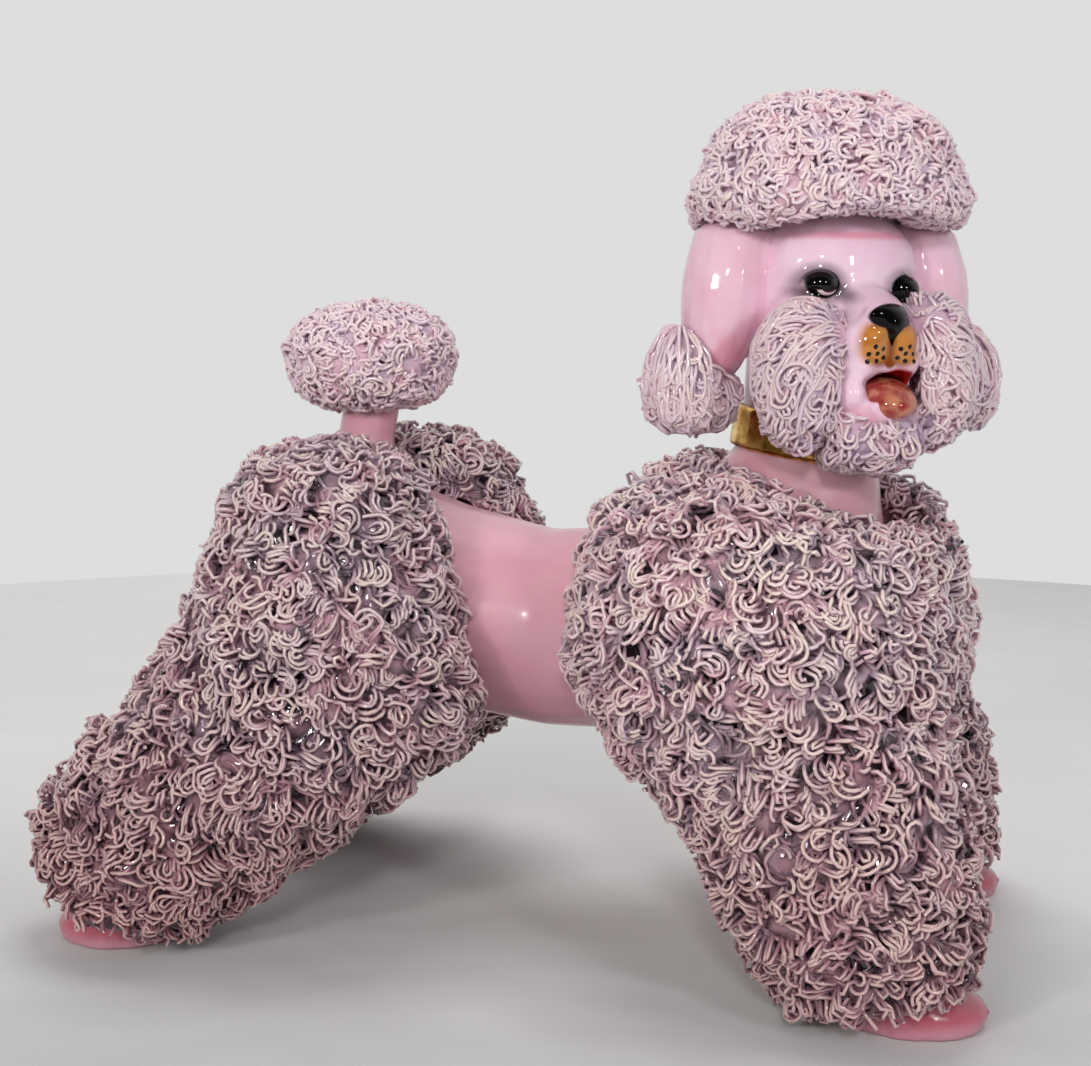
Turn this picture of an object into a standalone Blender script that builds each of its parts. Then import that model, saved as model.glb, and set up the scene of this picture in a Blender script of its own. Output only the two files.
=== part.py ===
# A standing poodle figurine: slip-cast body and head, dressed with tufts of extruded clay strands.
# X runs from the tail to the chest, Y to the dog's left and Z up. Lengths are in metres.
import math
import random

import bmesh
import bpy
from mathutils import Matrix, Vector

MM = 0.001

# Gap between two pieces that touch
CLEARANCE = 0.3 * MM

# Paws and legs, measured from the middle of the waist
FRONT_PAW_X = 93.0 * MM
HIND_PAW_X = -98.0 * MM
PAW_SPREAD = 91.0 * MM
PAW_WIDTH = 26.0 * MM
PAW_HEIGHT = 11.0 * MM
FRONT_PAW_LENGTH = 34.0 * MM
HIND_PAW_LENGTH = 31.0 * MM
ANKLE_DIAMETER = 23.0 * MM
FRONT_KNEE_HEIGHT = 42.0 * MM
FRONT_KNEE_DIAMETER = 25.0 * MM
ELBOW_HEIGHT = 66.0 * MM
ELBOW_LENGTH = 34.0 * MM
SHOULDER_SPREAD = 56.0 * MM
HOCK_HEIGHT = 32.0 * MM
HOCK_LENGTH = 31.0 * MM
STIFLE_HEIGHT = 58.0 * MM
THIGH_LENGTH = 48.0 * MM
THIGH_WIDTH = 38.0 * MM
HIP_SPREAD = 58.0 * MM

# Trunk
WAIST_TOP = 98.5 * MM
WAIST_DEPTH = 49.5 * MM
WAIST_WIDTH = 47.0 * MM
RUMP_X = -50.0 * MM
RUMP_TOP = 114.0 * MM
RUMP_DEPTH = 58.0 * MM
RUMP_WIDTH = 54.0 * MM
RUMP_REACH = 26.0 * MM
CHEST_X = 60.0 * MM
CHEST_TOP = 103.0 * MM
CHEST_DEPTH = 52.0 * MM
CHEST_WIDTH = 76.0 * MM
CHEST_REACH = 30.0 * MM
VENT_DIAMETER = 7.0 * MM
VENT_DEPTH = 5.0 * MM

# Neck and collar
NECK_X = 63.0 * MM
NECK_DIAMETER = 32.0 * MM
NECK_SEAM = 123.0 * MM
WITHERS_LENGTH = 54.0 * MM
THROAT_SLOPE = 4.0 * MM
COLLAR_WIDTH = 10.0 * MM
COLLAR_WALL = 1.9 * MM
COLLAR_TILT = math.radians(9.0)

# Head, in its own frame: X out of the face, Y to the dog's left ear, Z up, origin in mid skull
HEAD_X = 65.5 * MM
HEAD_HEIGHT = 157.0 * MM
HEAD_TURN = math.radians(-60.0)
SKULL_WIDTH = 43.0 * MM
SKULL_LENGTH = 47.0 * MM
SKULL_DEPTH = 48.0 * MM
MUZZLE_REACH = 35.0 * MM
MUZZLE_WIDTH = 20.0 * MM
MUZZLE_TOP = -4.5 * MM
MUZZLE_DEPTH = 27.0 * MM
MUZZLE_SLOPE = 1.5 * MM
MUZZLE_ROUND = 5.0 * MM
PAD_WIDTH = 15.0 * MM
PAD_DEPTH = 10.5 * MM
PAD_LENGTH = 11.0 * MM
NOSE_WIDTH = 9.2 * MM
NOSE_DEPTH = 5.6 * MM
NOSE_LENGTH = 8.0 * MM
MOUTH_WIDTH = 11.0 * MM
MOUTH_DEPTH = 9.5 * MM
MOUTH_REACH = 13.0 * MM
MOUTH_CENTRE = -23.0 * MM
TONGUE_WIDTH = 7.6 * MM
TONGUE_LENGTH = 17.0 * MM
TONGUE_THICKNESS = 3.4 * MM
EYE_SPREAD = 19.5 * MM
EYE_WIDTH = 8.6 * MM
EYE_DEPTH = 7.0 * MM
EYE_LENGTH = 6.0 * MM
EYE_BULGE = 2.6 * MM

# Ears: a smooth flap that ends in a tassel
EAR_SPREAD = 49.0 * MM
EAR_WIDTH = 20.0 * MM
EAR_LENGTH = 21.0 * MM
EAR_SHIFT = 3.0 * MM
EAR_TOP = 13.0 * MM
EAR_DROP = 31.0 * MM
EAR_ROUND = 3.0 * MM
TASSEL_SPREAD = 65.5 * MM
TASSEL_WIDTH = 22.5 * MM
TASSEL_LENGTH = 18.0 * MM
TASSEL_DROP = 26.0 * MM
TASSEL_TOP = -6.5 * MM
TASSEL_BUNDLES = 7

# Cheek ruffs and chin beard
RUFF_SPREAD = 30.0 * MM
RUFF_FORWARD = 25.0 * MM
RUFF_WIDTH = 21.5 * MM
RUFF_DROP = 34.5 * MM
RUFF_LENGTH = 19.0 * MM
RUFF_CENTRE = -18.2 * MM
BEARD_WIDTH = 16.0 * MM
BEARD_DROP = 15.5 * MM
BEARD_HANG = 5.0 * MM
BEARD_LENGTH = 24.0 * MM

# Topknot
TOPKNOT_WIDTH = 65.0 * MM
TOPKNOT_LENGTH = 62.0 * MM
TOPKNOT_SHIFT = 2.5 * MM
TOPKNOT_TOP = 44.5 * MM
TOPKNOT_RIM = 9.0 * MM
BROW_ARCH_WIDTH = 54.0 * MM
BROW_ARCH_RISE = 7.0 * MM

# Tail
TAIL_X = -51.0 * MM
TAIL_DIAMETER = 14.4 * MM
TAIL_HEIGHT = 131.0 * MM
TAIL_LEAN = 3.0 * MM
TAIL_ROOT_DEPTH = 6.0 * MM
TAIL_CAP_HEIGHT = 3.0 * MM
POMPOM_WIDTH = 43.0 * MM
POMPOM_HEIGHT = 27.0 * MM
POMPOM_TOP = 154.5 * MM

# Coats: thickness over the leg or the chest, fore and aft, and to the side
HEM_HEIGHT = 7.5 * MM
FRONT_HEM_TILT = math.radians(-14.0)
HIND_HEM_TILT = math.radians(15.0)
FRONT_COAT_LENGTHWAYS = 21.0 * MM
FRONT_COAT_SIDEWAYS = 14.5 * MM
HIND_COAT_LENGTHWAYS = 22.0 * MM
HIND_COAT_SIDEWAYS = 14.0 * MM
HIND_COAT_TOP = 122.0 * MM
LEFT_HIP_LEAD = 5.0 * MM
MANE_LENGTHWAYS = 16.0 * MM
MANE_SHIFT = -5.0 * MM
MANE_SIDEWAYS = 24.0 * MM
MANE_TOP = 119.0 * MM
MANE_SPLIT = 66.0 * MM
NECKLINE_LENGTH = 60.0 * MM
NECKLINE_WIDTH = 52.0 * MM
NECKLINE_SHIFT = -2.0 * MM
NECKLINE_TILT = math.radians(14.0)
DIP_X = 42.0 * MM
DIP_SPREAD = 70.0 * MM
DIP_SLOPE = math.radians(22.0)
DIP_TURN = math.radians(-25.0)
COAT_LAP = 12.0 * MM
CLUMP_RELIEF = 3.4 * MM
TUFT_PITCH = 8.0 * MM
TUFT_RELIEF = 1.0 * MM

# Mesh fineness
SKIN_PITCH = 18.0 * MM
COAT_PITCH = 8.0 * MM
FINE_PITCH = 6.5 * MM
CURVE_SIDES = 16
SKIN_SIDES = 22
CUTTER_SIDES = 36

RIGHT = -1
LEFT = 1
SIDES = {"right": RIGHT, "left": LEFT}


# Scene, collections and materials

def clear_scene():
    for obj in list(bpy.data.objects):
        bpy.data.objects.remove(obj, do_unlink=True)


def new_collection(name):
    collection = bpy.data.collections.new(name)
    bpy.context.scene.collection.children.link(collection)
    return collection


def linear(hex_colour):
    channels = [int(hex_colour[i:i + 2], 16) / 255 for i in (0, 2, 4)]
    return [c / 12.92 if c <= 0.04045 else ((c + 0.055) / 1.055) ** 2.4 for c in channels]


def glaze(name, hex_colour, roughness, metallic=0.0):
    material = bpy.data.materials.new(name)
    material.use_nodes = True
    shader = material.node_tree.nodes["Principled BSDF"]
    shader.inputs["Base Color"].default_value = linear(hex_colour) + [1.0]
    shader.inputs["Roughness"].default_value = roughness
    shader.inputs["Metallic"].default_value = metallic
    material.diffuse_color = linear(hex_colour) + [1.0]
    return material


clear_scene()
PARTS = new_collection("spaghetti_poodle")
CUTTERS = new_collection("cutters")

FIGURINE = bpy.data.objects.new("figurine_frame", None)
HEAD = bpy.data.objects.new("head_frame", None)
PARTS.objects.link(FIGURINE)
PARTS.objects.link(HEAD)
HEAD.parent = FIGURINE
HEAD.location = (HEAD_X, 0.0, HEAD_HEIGHT)
HEAD.rotation_euler.z = HEAD_TURN


# Building blocks

def add_object(name, mesh, frame):
    obj = bpy.data.objects.new(name, mesh)
    obj.parent = frame
    PARTS.objects.link(obj)
    mesh.shade_smooth()
    return obj


def as_cutter(obj):
    PARTS.objects.unlink(obj)
    CUTTERS.objects.link(obj)
    obj.hide_render = True
    obj.display_type = "WIRE"
    return obj


def section(at, across, along, half_across, half_along):
    # One cross-section of a loft: its place on the axis, its centre and its two half widths
    return (at, across, along, half_across, half_along)


def skin_at(sections, at):
    # Cubic Hermite between neighbouring sections, so that the skin has no kinks
    count = len(sections)
    k = max(i for i in range(count - 1) if i == 0 or sections[i][0] <= at)
    low, high = sections[k], sections[k + 1]
    before = sections[max(k - 1, 0)]
    after = sections[min(k + 2, count - 1)]
    span = high[0] - low[0]
    t = (at - low[0]) / span
    values = []
    for i in range(1, 5):
        slope_low = (high[i] - before[i]) / (high[0] - before[0]) * span
        slope_high = (after[i] - low[i]) / (after[0] - low[0]) * span
        values.append(
            (2 * t ** 3 - 3 * t ** 2 + 1) * low[i]
            + (t ** 3 - 2 * t ** 2 + t) * slope_low
            + (3 * t ** 2 - 2 * t ** 3) * high[i]
            + (t ** 3 - t ** 2) * slope_high
        )
    return values


def ring_places(sections, pitch, start_round, end_round):
    # Each ring's place along the axis, the section it takes its shape from, and how far it is drawn in
    low, high = sections[0][0], sections[-1][0]
    places = []
    steps = max(2, math.ceil(start_round / pitch) + 1) if start_round else 0
    for i in range(steps - 1, 0, -1):
        angle = 0.5 * math.pi * i / steps
        places.append((low - start_round * math.sin(angle), low, math.cos(angle)))
    places.append((low, low, 1.0))
    for near, far in zip(sections, sections[1:]):
        span = far[0] - near[0]
        count = max(1, round(span / pitch))
        for i in range(count):
            at = near[0] + span * (i + 1) / count
            places.append((at, at, 1.0))
    steps = max(2, math.ceil(end_round / pitch) + 1) if end_round else 0
    for i in range(1, steps):
        angle = 0.5 * math.pi * i / steps
        places.append((high + end_round * math.sin(angle), high, math.cos(angle)))
    return places


def loft(name, sections, axis="Z", sides=SKIN_SIDES, pitch=SKIN_PITCH, rounds=(0.0, 0.0),
         grow=0.0, flutes=0, flute_depth=0.0, square=2.0, frame=FIGURINE):
    # A skin over elliptical sections, stacked along X or Z, with flat or rounded ends
    start_round = rounds[0] + grow if rounds[0] else 0.0
    end_round = rounds[1] + grow if rounds[1] else 0.0
    work = bmesh.new()

    def point(at, first, second):
        return Vector((at, first, second)) if axis == "X" else Vector((first, second, at))

    def squared(value):
        return math.copysign(abs(value) ** (2 / square), value)

    rings = []
    places = ring_places(sections, pitch, start_round, end_round)
    for place, source, drawn in places:
        first, second, half_first, half_second = skin_at(sections, source)
        if grow and place == sections[0][0] and not start_round:
            place -= grow
        if grow and place == sections[-1][0] and not end_round:
            place += grow
        ring = []
        for i in range(sides):
            angle = 2 * math.pi * i / sides
            fluting = 1 + flute_depth * math.cos(flutes * angle)
            u = (half_first + grow) * drawn * fluting * squared(math.cos(angle))
            v = (half_second + grow) * drawn * fluting * squared(math.sin(angle))
            ring.append(work.verts.new(point(place, first + u, second + v)))
        rings.append(ring)
    for lower, upper in zip(rings, rings[1:]):
        for i in range(sides):
            j = (i + 1) % sides
            work.faces.new((lower[i], lower[j], upper[j], upper[i]))
    flat_start = -grow if sections[0][0] == places[0][0] else 0.0
    flat_end = grow if sections[-1][0] == places[-1][0] else 0.0
    for ring, end, reach in ((rings[0], 0, flat_start - start_round), (rings[-1], -1, flat_end + end_round)):
        at = sections[end][0]
        first, second = skin_at(sections, at)[:2]
        pole = work.verts.new(point(at + reach, first, second))
        for i in range(sides):
            work.faces.new((ring[i], ring[(i + 1) % sides], pole))
    # Flat facets, because a bent four-sided face can spoil a Boolean
    bmesh.ops.triangulate(work, faces=work.faces)
    bmesh.ops.recalc_face_normals(work, faces=work.faces)
    mesh = bpy.data.meshes.new(name)
    work.to_mesh(mesh)
    work.free()
    return add_object(name, mesh, frame)


def ellipsoid(name, centre, size, segments=12, rings=8, grow=0.0, frame=HEAD):
    # A sphere primitive stretched to its three widths
    halves = [0.5 * width + grow for width in size]
    stretch = Matrix.LocRotScale(Vector(centre), None, Vector(halves))
    work = bmesh.new()
    bmesh.ops.create_uvsphere(work, u_segments=segments, v_segments=rings, radius=1.0, matrix=stretch)
    bmesh.ops.triangulate(work, faces=work.faces)
    mesh = bpy.data.meshes.new(name)
    work.to_mesh(mesh)
    work.free()
    return add_object(name, mesh, frame)


def block(name, low, high, frame=FIGURINE):
    # A box cutter between two corners
    low, high = Vector(low), Vector(high)
    place = Matrix.LocRotScale((low + high) / 2, None, high - low)
    work = bmesh.new()
    bmesh.ops.create_cube(work, size=1.0, matrix=place)
    mesh = bpy.data.meshes.new(name)
    work.to_mesh(mesh)
    work.free()
    return as_cutter(add_object(name, mesh, frame))


def boolean(obj, operation, other):
    modifier = obj.modifiers.new(other.name, "BOOLEAN")
    modifier.operation = operation
    modifier.solver = "EXACT"
    modifier.object = other


def join(obj, others):
    for other in others:
        boolean(obj, "UNION", as_cutter(other))


def cut(obj, cutters):
    for cutter in cutters:
        boolean(obj, "DIFFERENCE", cutter)


def tufts(obj, pitch, relief):
    # Rounded lumps over the skin, highest in the middle of each cell, where a tuft of strands sits
    cells = bpy.data.textures.new(obj.name + "_tufts", "VORONOI")
    cells.noise_scale = pitch
    lumps = obj.modifiers.new("tufts", "DISPLACE")
    lumps.texture = cells
    lumps.texture_coords = "LOCAL"
    lumps.strength = -relief
    lumps.mid_level = 1.0


def clumps(obj, sides, relief):
    # Every second point of a lofted skin stands proud, where a clump of tufts sits, and the others sink
    draw = random.Random(obj.name)
    points = obj.data.vertices
    normals = [point.normal.copy() for point in points]
    for i in range(len(points) - 2):
        proud = (i // sides + i % sides) % 2
        share = 0.65 if proud else -0.35
        points[i].co += normals[i] * relief * share * draw.uniform(0.7, 1.3)


# Body casting

def blend(low, high, share):
    return low + (high - low) * share


def front_leg_sections(side):
    paw_y = side * PAW_SPREAD / 2
    shoulder_y = side * SHOULDER_SPREAD / 2
    slope = (FRONT_PAW_X - CHEST_X) / ELBOW_HEIGHT
    ankle_height = 1.6 * PAW_HEIGHT

    def lean(height):
        return FRONT_PAW_X - slope * height

    def splay(height):
        return blend(paw_y, shoulder_y, height / CHEST_TOP)

    ankle = ANKLE_DIAMETER / 2
    knee = FRONT_KNEE_DIAMETER / 2
    elbow = ELBOW_LENGTH / 2
    upper = 0.88 * CHEST_TOP
    return [
        section(0.0, FRONT_PAW_X, paw_y, 0.47 * FRONT_PAW_LENGTH, 0.47 * PAW_WIDTH),
        section(0.4 * PAW_HEIGHT, FRONT_PAW_X, paw_y, 0.5 * FRONT_PAW_LENGTH, 0.5 * PAW_WIDTH),
        section(PAW_HEIGHT, lean(PAW_HEIGHT), paw_y, 0.38 * FRONT_PAW_LENGTH, 0.44 * PAW_WIDTH),
        section(ankle_height, lean(ankle_height), paw_y, ankle, ankle),
        section(FRONT_KNEE_HEIGHT, lean(FRONT_KNEE_HEIGHT), splay(FRONT_KNEE_HEIGHT), knee, knee),
        section(ELBOW_HEIGHT, CHEST_X, splay(ELBOW_HEIGHT), elbow, 0.88 * elbow),
        section(upper, CHEST_X, shoulder_y, elbow, 0.88 * elbow),
    ]


def hind_leg_sections(side):
    paw_y = side * PAW_SPREAD / 2
    hip_y = side * HIP_SPREAD / 2
    ankle = ANKLE_DIAMETER / 2
    hock_x = blend(HIND_PAW_X, RUMP_X, 0.42)
    stifle_x = blend(HIND_PAW_X, RUMP_X, 0.93)
    ankle_height = 1.7 * PAW_HEIGHT
    upper = blend(STIFLE_HEIGHT, RUMP_TOP, 0.55)
    return [
        section(0.0, HIND_PAW_X, paw_y, 0.47 * HIND_PAW_LENGTH, 0.47 * PAW_WIDTH),
        section(0.4 * PAW_HEIGHT, HIND_PAW_X, paw_y, 0.5 * HIND_PAW_LENGTH, 0.5 * PAW_WIDTH),
        section(PAW_HEIGHT, blend(HIND_PAW_X, hock_x, 0.3), paw_y, 0.4 * HIND_PAW_LENGTH, 0.44 * PAW_WIDTH),
        section(ankle_height, blend(HIND_PAW_X, hock_x, 0.6), paw_y, 1.12 * ankle, ankle),
        section(HOCK_HEIGHT, hock_x, blend(paw_y, hip_y, 0.15), HOCK_LENGTH / 2, 1.05 * ankle),
        section(STIFLE_HEIGHT, stifle_x, blend(paw_y, hip_y, 0.6), THIGH_LENGTH / 2, 0.4 * THIGH_WIDTH),
        section(upper, RUMP_X, hip_y, 0.94 * THIGH_LENGTH / 2, THIGH_WIDTH / 2),
    ]


def trunk_sections():
    waist_z = WAIST_TOP - WAIST_DEPTH / 2
    rump_z = RUMP_TOP - RUMP_DEPTH / 2
    chest_z = CHEST_TOP - CHEST_DEPTH / 2
    loin_x = blend(RUMP_X, 0.0, 0.55)
    rib_x = 0.45 * CHEST_X
    return [
        section(RUMP_X, 0.0, rump_z, RUMP_WIDTH / 2, RUMP_DEPTH / 2),
        section(loin_x, 0.0, blend(rump_z, waist_z, 0.62), blend(RUMP_WIDTH, WAIST_WIDTH, 0.65) / 2,
                blend(RUMP_DEPTH, WAIST_DEPTH, 0.8) / 2),
        section(0.0, 0.0, waist_z, WAIST_WIDTH / 2, WAIST_DEPTH / 2),
        section(rib_x, 0.0, blend(waist_z, chest_z, 0.4), blend(WAIST_WIDTH, CHEST_WIDTH, 0.4) / 2,
                blend(WAIST_DEPTH, CHEST_DEPTH, 0.4) / 2),
        section(CHEST_X, 0.0, chest_z, CHEST_WIDTH / 2, CHEST_DEPTH / 2),
        section(CHEST_X + 0.3 * CHEST_REACH, 0.0, chest_z, 0.9 * CHEST_WIDTH / 2, 0.94 * CHEST_DEPTH / 2),
    ]


def neck_sections():
    # The nape sweeps back to the withers while the throat stays nearly upright
    base = CHEST_TOP - 0.35 * CHEST_DEPTH
    throat = NECK_X + NECK_DIAMETER / 2
    rise = NECK_SEAM - base

    def at(share, length, width):
        middle = throat + (1 - share) * THROAT_SLOPE - length / 2
        return section(base + share * rise, middle, 0.0, length / 2, width / 2)

    mid_length = blend(WITHERS_LENGTH, NECK_DIAMETER, 0.45)
    return [
        at(0.0, WITHERS_LENGTH * 1.12, WITHERS_LENGTH),
        at(0.42, WITHERS_LENGTH, 0.9 * WITHERS_LENGTH),
        at(0.7, mid_length, 0.86 * mid_length),
        at(0.88, blend(NECK_DIAMETER, mid_length, 0.25), NECK_DIAMETER),
        at(1.0, NECK_DIAMETER, NECK_DIAMETER),
    ]


def trunk(name, grow=0.0):
    rounds = (RUMP_REACH, 0.7 * CHEST_REACH)
    return loft(name, trunk_sections(), axis="X", rounds=rounds, grow=grow)


def neck(name, grow=0.0):
    return loft(name, neck_sections(), grow=grow)


def front_leg(name, side, grow=0.0):
    rounds = (0.0, 0.1 * CHEST_TOP)
    return loft(name, front_leg_sections(side), sides=CURVE_SIDES, rounds=rounds, grow=grow)


def hind_leg(name, side, grow=0.0):
    rounds = (0.0, 0.1 * RUMP_TOP)
    return loft(name, hind_leg_sections(side), sides=CURVE_SIDES, rounds=rounds, grow=grow)


def tail_sections():
    half = TAIL_DIAMETER / 2
    return [
        section(RUMP_TOP - TAIL_ROOT_DEPTH, TAIL_X, 0.0, 1.24 * half, 1.24 * half),
        section(blend(RUMP_TOP, TAIL_HEIGHT, 0.4), TAIL_X + TAIL_LEAN / 2, 0.0, half, half),
        section(TAIL_HEIGHT - TAIL_CAP_HEIGHT, TAIL_X + TAIL_LEAN, 0.0, half, half),
        section(TAIL_HEIGHT, TAIL_X + TAIL_LEAN, 0.0, 1.2 * half, 1.2 * half),
    ]


def tail(name, grow=0.0):
    return loft(name, tail_sections(), sides=CURVE_SIDES, grow=grow)


def body_casting(material):
    body = trunk("body_casting")
    limbs = [neck("neck_blank")]
    for word, side in SIDES.items():
        limbs.append(front_leg("front_leg_blank_" + word, side))
        limbs.append(hind_leg("hind_leg_blank_" + word, side))
    join(body, limbs)
    vent_low = WAIST_TOP - WAIST_DEPTH - VENT_DEPTH
    vent = loft("vent_cutter", [
        section(vent_low, 0.0, 0.0, VENT_DIAMETER / 2, VENT_DIAMETER / 2),
        section(vent_low + 2 * VENT_DEPTH, 0.0, 0.0, VENT_DIAMETER / 2, VENT_DIAMETER / 2),
    ], sides=CURVE_SIDES)
    cut(body, [as_cutter(vent)])
    body.data.materials.append(material)
    return body


# Head casting

def skull(name, grow=0.0):
    return ellipsoid(name, (0.0, 0.0, 0.0), (SKULL_LENGTH, SKULL_WIDTH, SKULL_DEPTH), 22, 13, grow)


def muzzle(name, grow=0.0):
    centre = MUZZLE_TOP - MUZZLE_DEPTH / 2
    tip = MUZZLE_REACH - MUZZLE_ROUND
    return loft(name, [
        section(0.25 * SKULL_LENGTH, 0.0, centre + MUZZLE_SLOPE, 0.72 * MUZZLE_WIDTH, 0.5 * MUZZLE_DEPTH),
        section(blend(0.25 * SKULL_LENGTH, tip, 0.5), 0.0, centre, 0.58 * MUZZLE_WIDTH, 0.49 * MUZZLE_DEPTH),
        section(tip, 0.0, centre, 0.44 * MUZZLE_WIDTH, 0.44 * MUZZLE_DEPTH),
    ], axis="X", sides=CURVE_SIDES, pitch=FINE_PITCH, rounds=(0.0, MUZZLE_ROUND), grow=grow, frame=HEAD)


def upper_neck(name, grow=0.0):
    # From the seam under the collar up into the skull, in the head's own frame
    seam = NECK_SEAM - HEAD_HEIGHT + CLEARANCE
    shift = NECK_X - HEAD_X
    x = shift * math.cos(HEAD_TURN)
    y = -shift * math.sin(HEAD_TURN)
    half = NECK_DIAMETER / 2
    return loft(name, [
        section(seam, x, y, half, half),
        section(0.35 * seam, 0.3 * x, 0.3 * y, 1.06 * half, 1.02 * half),
        section(0.0, 0.0, 0.0, 1.06 * half, 1.02 * half),
    ], grow=grow, frame=HEAD)


def tongue(name, grow=0.0):
    centre = (MUZZLE_REACH - 0.27 * TONGUE_LENGTH, 0.0, MOUTH_CENTRE - 0.32 * MOUTH_DEPTH)
    return ellipsoid(name, centre, (TONGUE_LENGTH, TONGUE_WIDTH, TONGUE_THICKNESS), grow=grow)


def head_casting(material):
    head = skull("head_casting")
    socket_x = 0.5 * SKULL_LENGTH * math.sqrt(1 - (EYE_SPREAD / SKULL_WIDTH) ** 2)
    eye_x = socket_x + EYE_BULGE - EYE_LENGTH / 2
    pad_z = MUZZLE_TOP - NOSE_DEPTH - 0.2 * PAD_DEPTH
    details = [muzzle("muzzle_blank"), upper_neck("upper_neck_blank")]
    for word, side in SIDES.items():
        eye = (eye_x, side * EYE_SPREAD / 2, 0.0)
        details.append(ellipsoid("eye_blank_" + word, eye, (EYE_LENGTH, EYE_WIDTH, EYE_DEPTH)))
        pad = (MUZZLE_REACH - 0.38 * PAD_LENGTH, side * PAD_WIDTH / 4, pad_z)
        details.append(ellipsoid("pad_blank_" + word, pad, (PAD_LENGTH, 0.56 * PAD_WIDTH, PAD_DEPTH)))
    nose = (MUZZLE_REACH - 0.2 * NOSE_LENGTH, 0.0, MUZZLE_TOP - 0.3 * NOSE_DEPTH)
    details.append(ellipsoid("nose_blank", nose, (NOSE_LENGTH, NOSE_WIDTH, NOSE_DEPTH)))
    join(head, details)
    mouth = (MUZZLE_REACH, 0.0, MOUTH_CENTRE)
    cut(head, [as_cutter(ellipsoid("mouth_cutter", mouth, (2 * MOUTH_REACH, MOUTH_WIDTH, MOUTH_DEPTH)))])
    join(head, [tongue("tongue_blank")])
    head.data.materials.append(material)
    return head


def collar_seat():
    # A grown copy of the band, which the hanging tufts stay clear of
    reach = NECK_DIAMETER / 2 + COLLAR_WALL + 2 * CLEARANCE
    half = COLLAR_WIDTH / 2 + CLEARANCE
    seat = loft("collar_seat", [
        section(-half, 0.0, 0.0, reach, reach),
        section(half, 0.0, 0.0, reach, reach),
    ], sides=CUTTER_SIDES)
    seat.location = (NECK_X, 0.0, NECK_SEAM)
    seat.rotation_euler.y = COLLAR_TILT
    return as_cutter(seat)


def collar_band(material):
    # A turned band with softened edges that hides the seam between the two castings. It dips to the
    # throat, and its bore is cut to fit the neck afterwards.
    inner = NECK_DIAMETER / 2 - COLLAR_WALL / 2
    outer = NECK_DIAMETER / 2 + CLEARANCE + COLLAR_WALL
    half = COLLAR_WIDTH / 2
    soft = 0.4 * COLLAR_WALL
    profile = [(outer - soft, half), (outer, half - soft), (outer, soft - half), (outer - soft, -half)]
    profile += [(inner, -half), (inner, half)]
    work = bmesh.new()
    verts = [work.verts.new((r, 0.0, z)) for r, z in profile]
    for i in range(len(verts)):
        work.edges.new((verts[i], verts[(i + 1) % len(verts)]))
    mesh = bpy.data.meshes.new("collar_band")
    work.to_mesh(mesh)
    work.free()
    band = add_object("collar_band", mesh, FIGURINE)
    band.location = (NECK_X, 0.0, NECK_SEAM)
    band.rotation_euler.y = COLLAR_TILT
    turn = band.modifiers.new("turn", "SCREW")
    turn.steps = SKIN_SIDES
    turn.render_steps = SKIN_SIDES
    turn.use_merge_vertices = True
    turn.merge_threshold = 0.01 * MM
    band.data.materials.append(material)
    return band


# Ears

def ear_flap(name, side, grow=0.0):
    middle = side * EAR_SPREAD / 2
    tip = side * blend(EAR_SPREAD, TASSEL_SPREAD, 0.4) / 2
    bottom = EAR_TOP - EAR_DROP
    return loft(name, [
        section(bottom, EAR_SHIFT, tip, 0.3 * EAR_LENGTH, 0.32 * EAR_WIDTH),
        section(blend(bottom, EAR_TOP, 0.4), EAR_SHIFT, 1.03 * middle, 0.5 * EAR_LENGTH, 0.5 * EAR_WIDTH),
        section(blend(bottom, EAR_TOP, 0.72), EAR_SHIFT, middle, 0.5 * EAR_LENGTH, 0.5 * EAR_WIDTH),
        section(EAR_TOP, 0.7 * EAR_SHIFT, 0.93 * middle, 0.44 * EAR_LENGTH, 0.46 * EAR_WIDTH),
    ], sides=CURVE_SIDES, pitch=FINE_PITCH, rounds=(EAR_ROUND, EAR_ROUND), grow=grow, frame=HEAD)


def ear_tassel(name, side):
    bottom = TASSEL_TOP - TASSEL_DROP
    y = side * TASSEL_SPREAD / 2
    half = TASSEL_WIDTH / 2
    deep = TASSEL_LENGTH / 2
    return loft(name, [
        section(bottom + 0.15 * TASSEL_DROP, EAR_SHIFT, y, 0.9 * deep, 0.92 * half),
        section(bottom + 0.45 * TASSEL_DROP, EAR_SHIFT, y, deep, half),
        section(bottom + 0.78 * TASSEL_DROP, EAR_SHIFT, y, 0.84 * deep, 0.8 * half),
    ], sides=3 * TASSEL_BUNDLES, pitch=FINE_PITCH, rounds=(0.15 * TASSEL_DROP, 0.22 * TASSEL_DROP),
        flutes=TASSEL_BUNDLES, flute_depth=0.05, frame=HEAD)


# Tufted pieces on the head and the tail

def cheek_ruff(name, side):
    centre = (RUFF_FORWARD, side * RUFF_SPREAD / 2, RUFF_CENTRE)
    return ellipsoid(name, centre, (RUFF_LENGTH, RUFF_WIDTH, RUFF_DROP), 15, 10)


def chin_beard(name):
    low = RUFF_CENTRE - RUFF_DROP / 2 - BEARD_HANG
    centre = (0.5 * SKULL_LENGTH, 0.0, low + BEARD_DROP / 2)
    return ellipsoid(name, centre, (BEARD_LENGTH, 1.8 * BEARD_WIDTH, BEARD_DROP), 16, 8)


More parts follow.
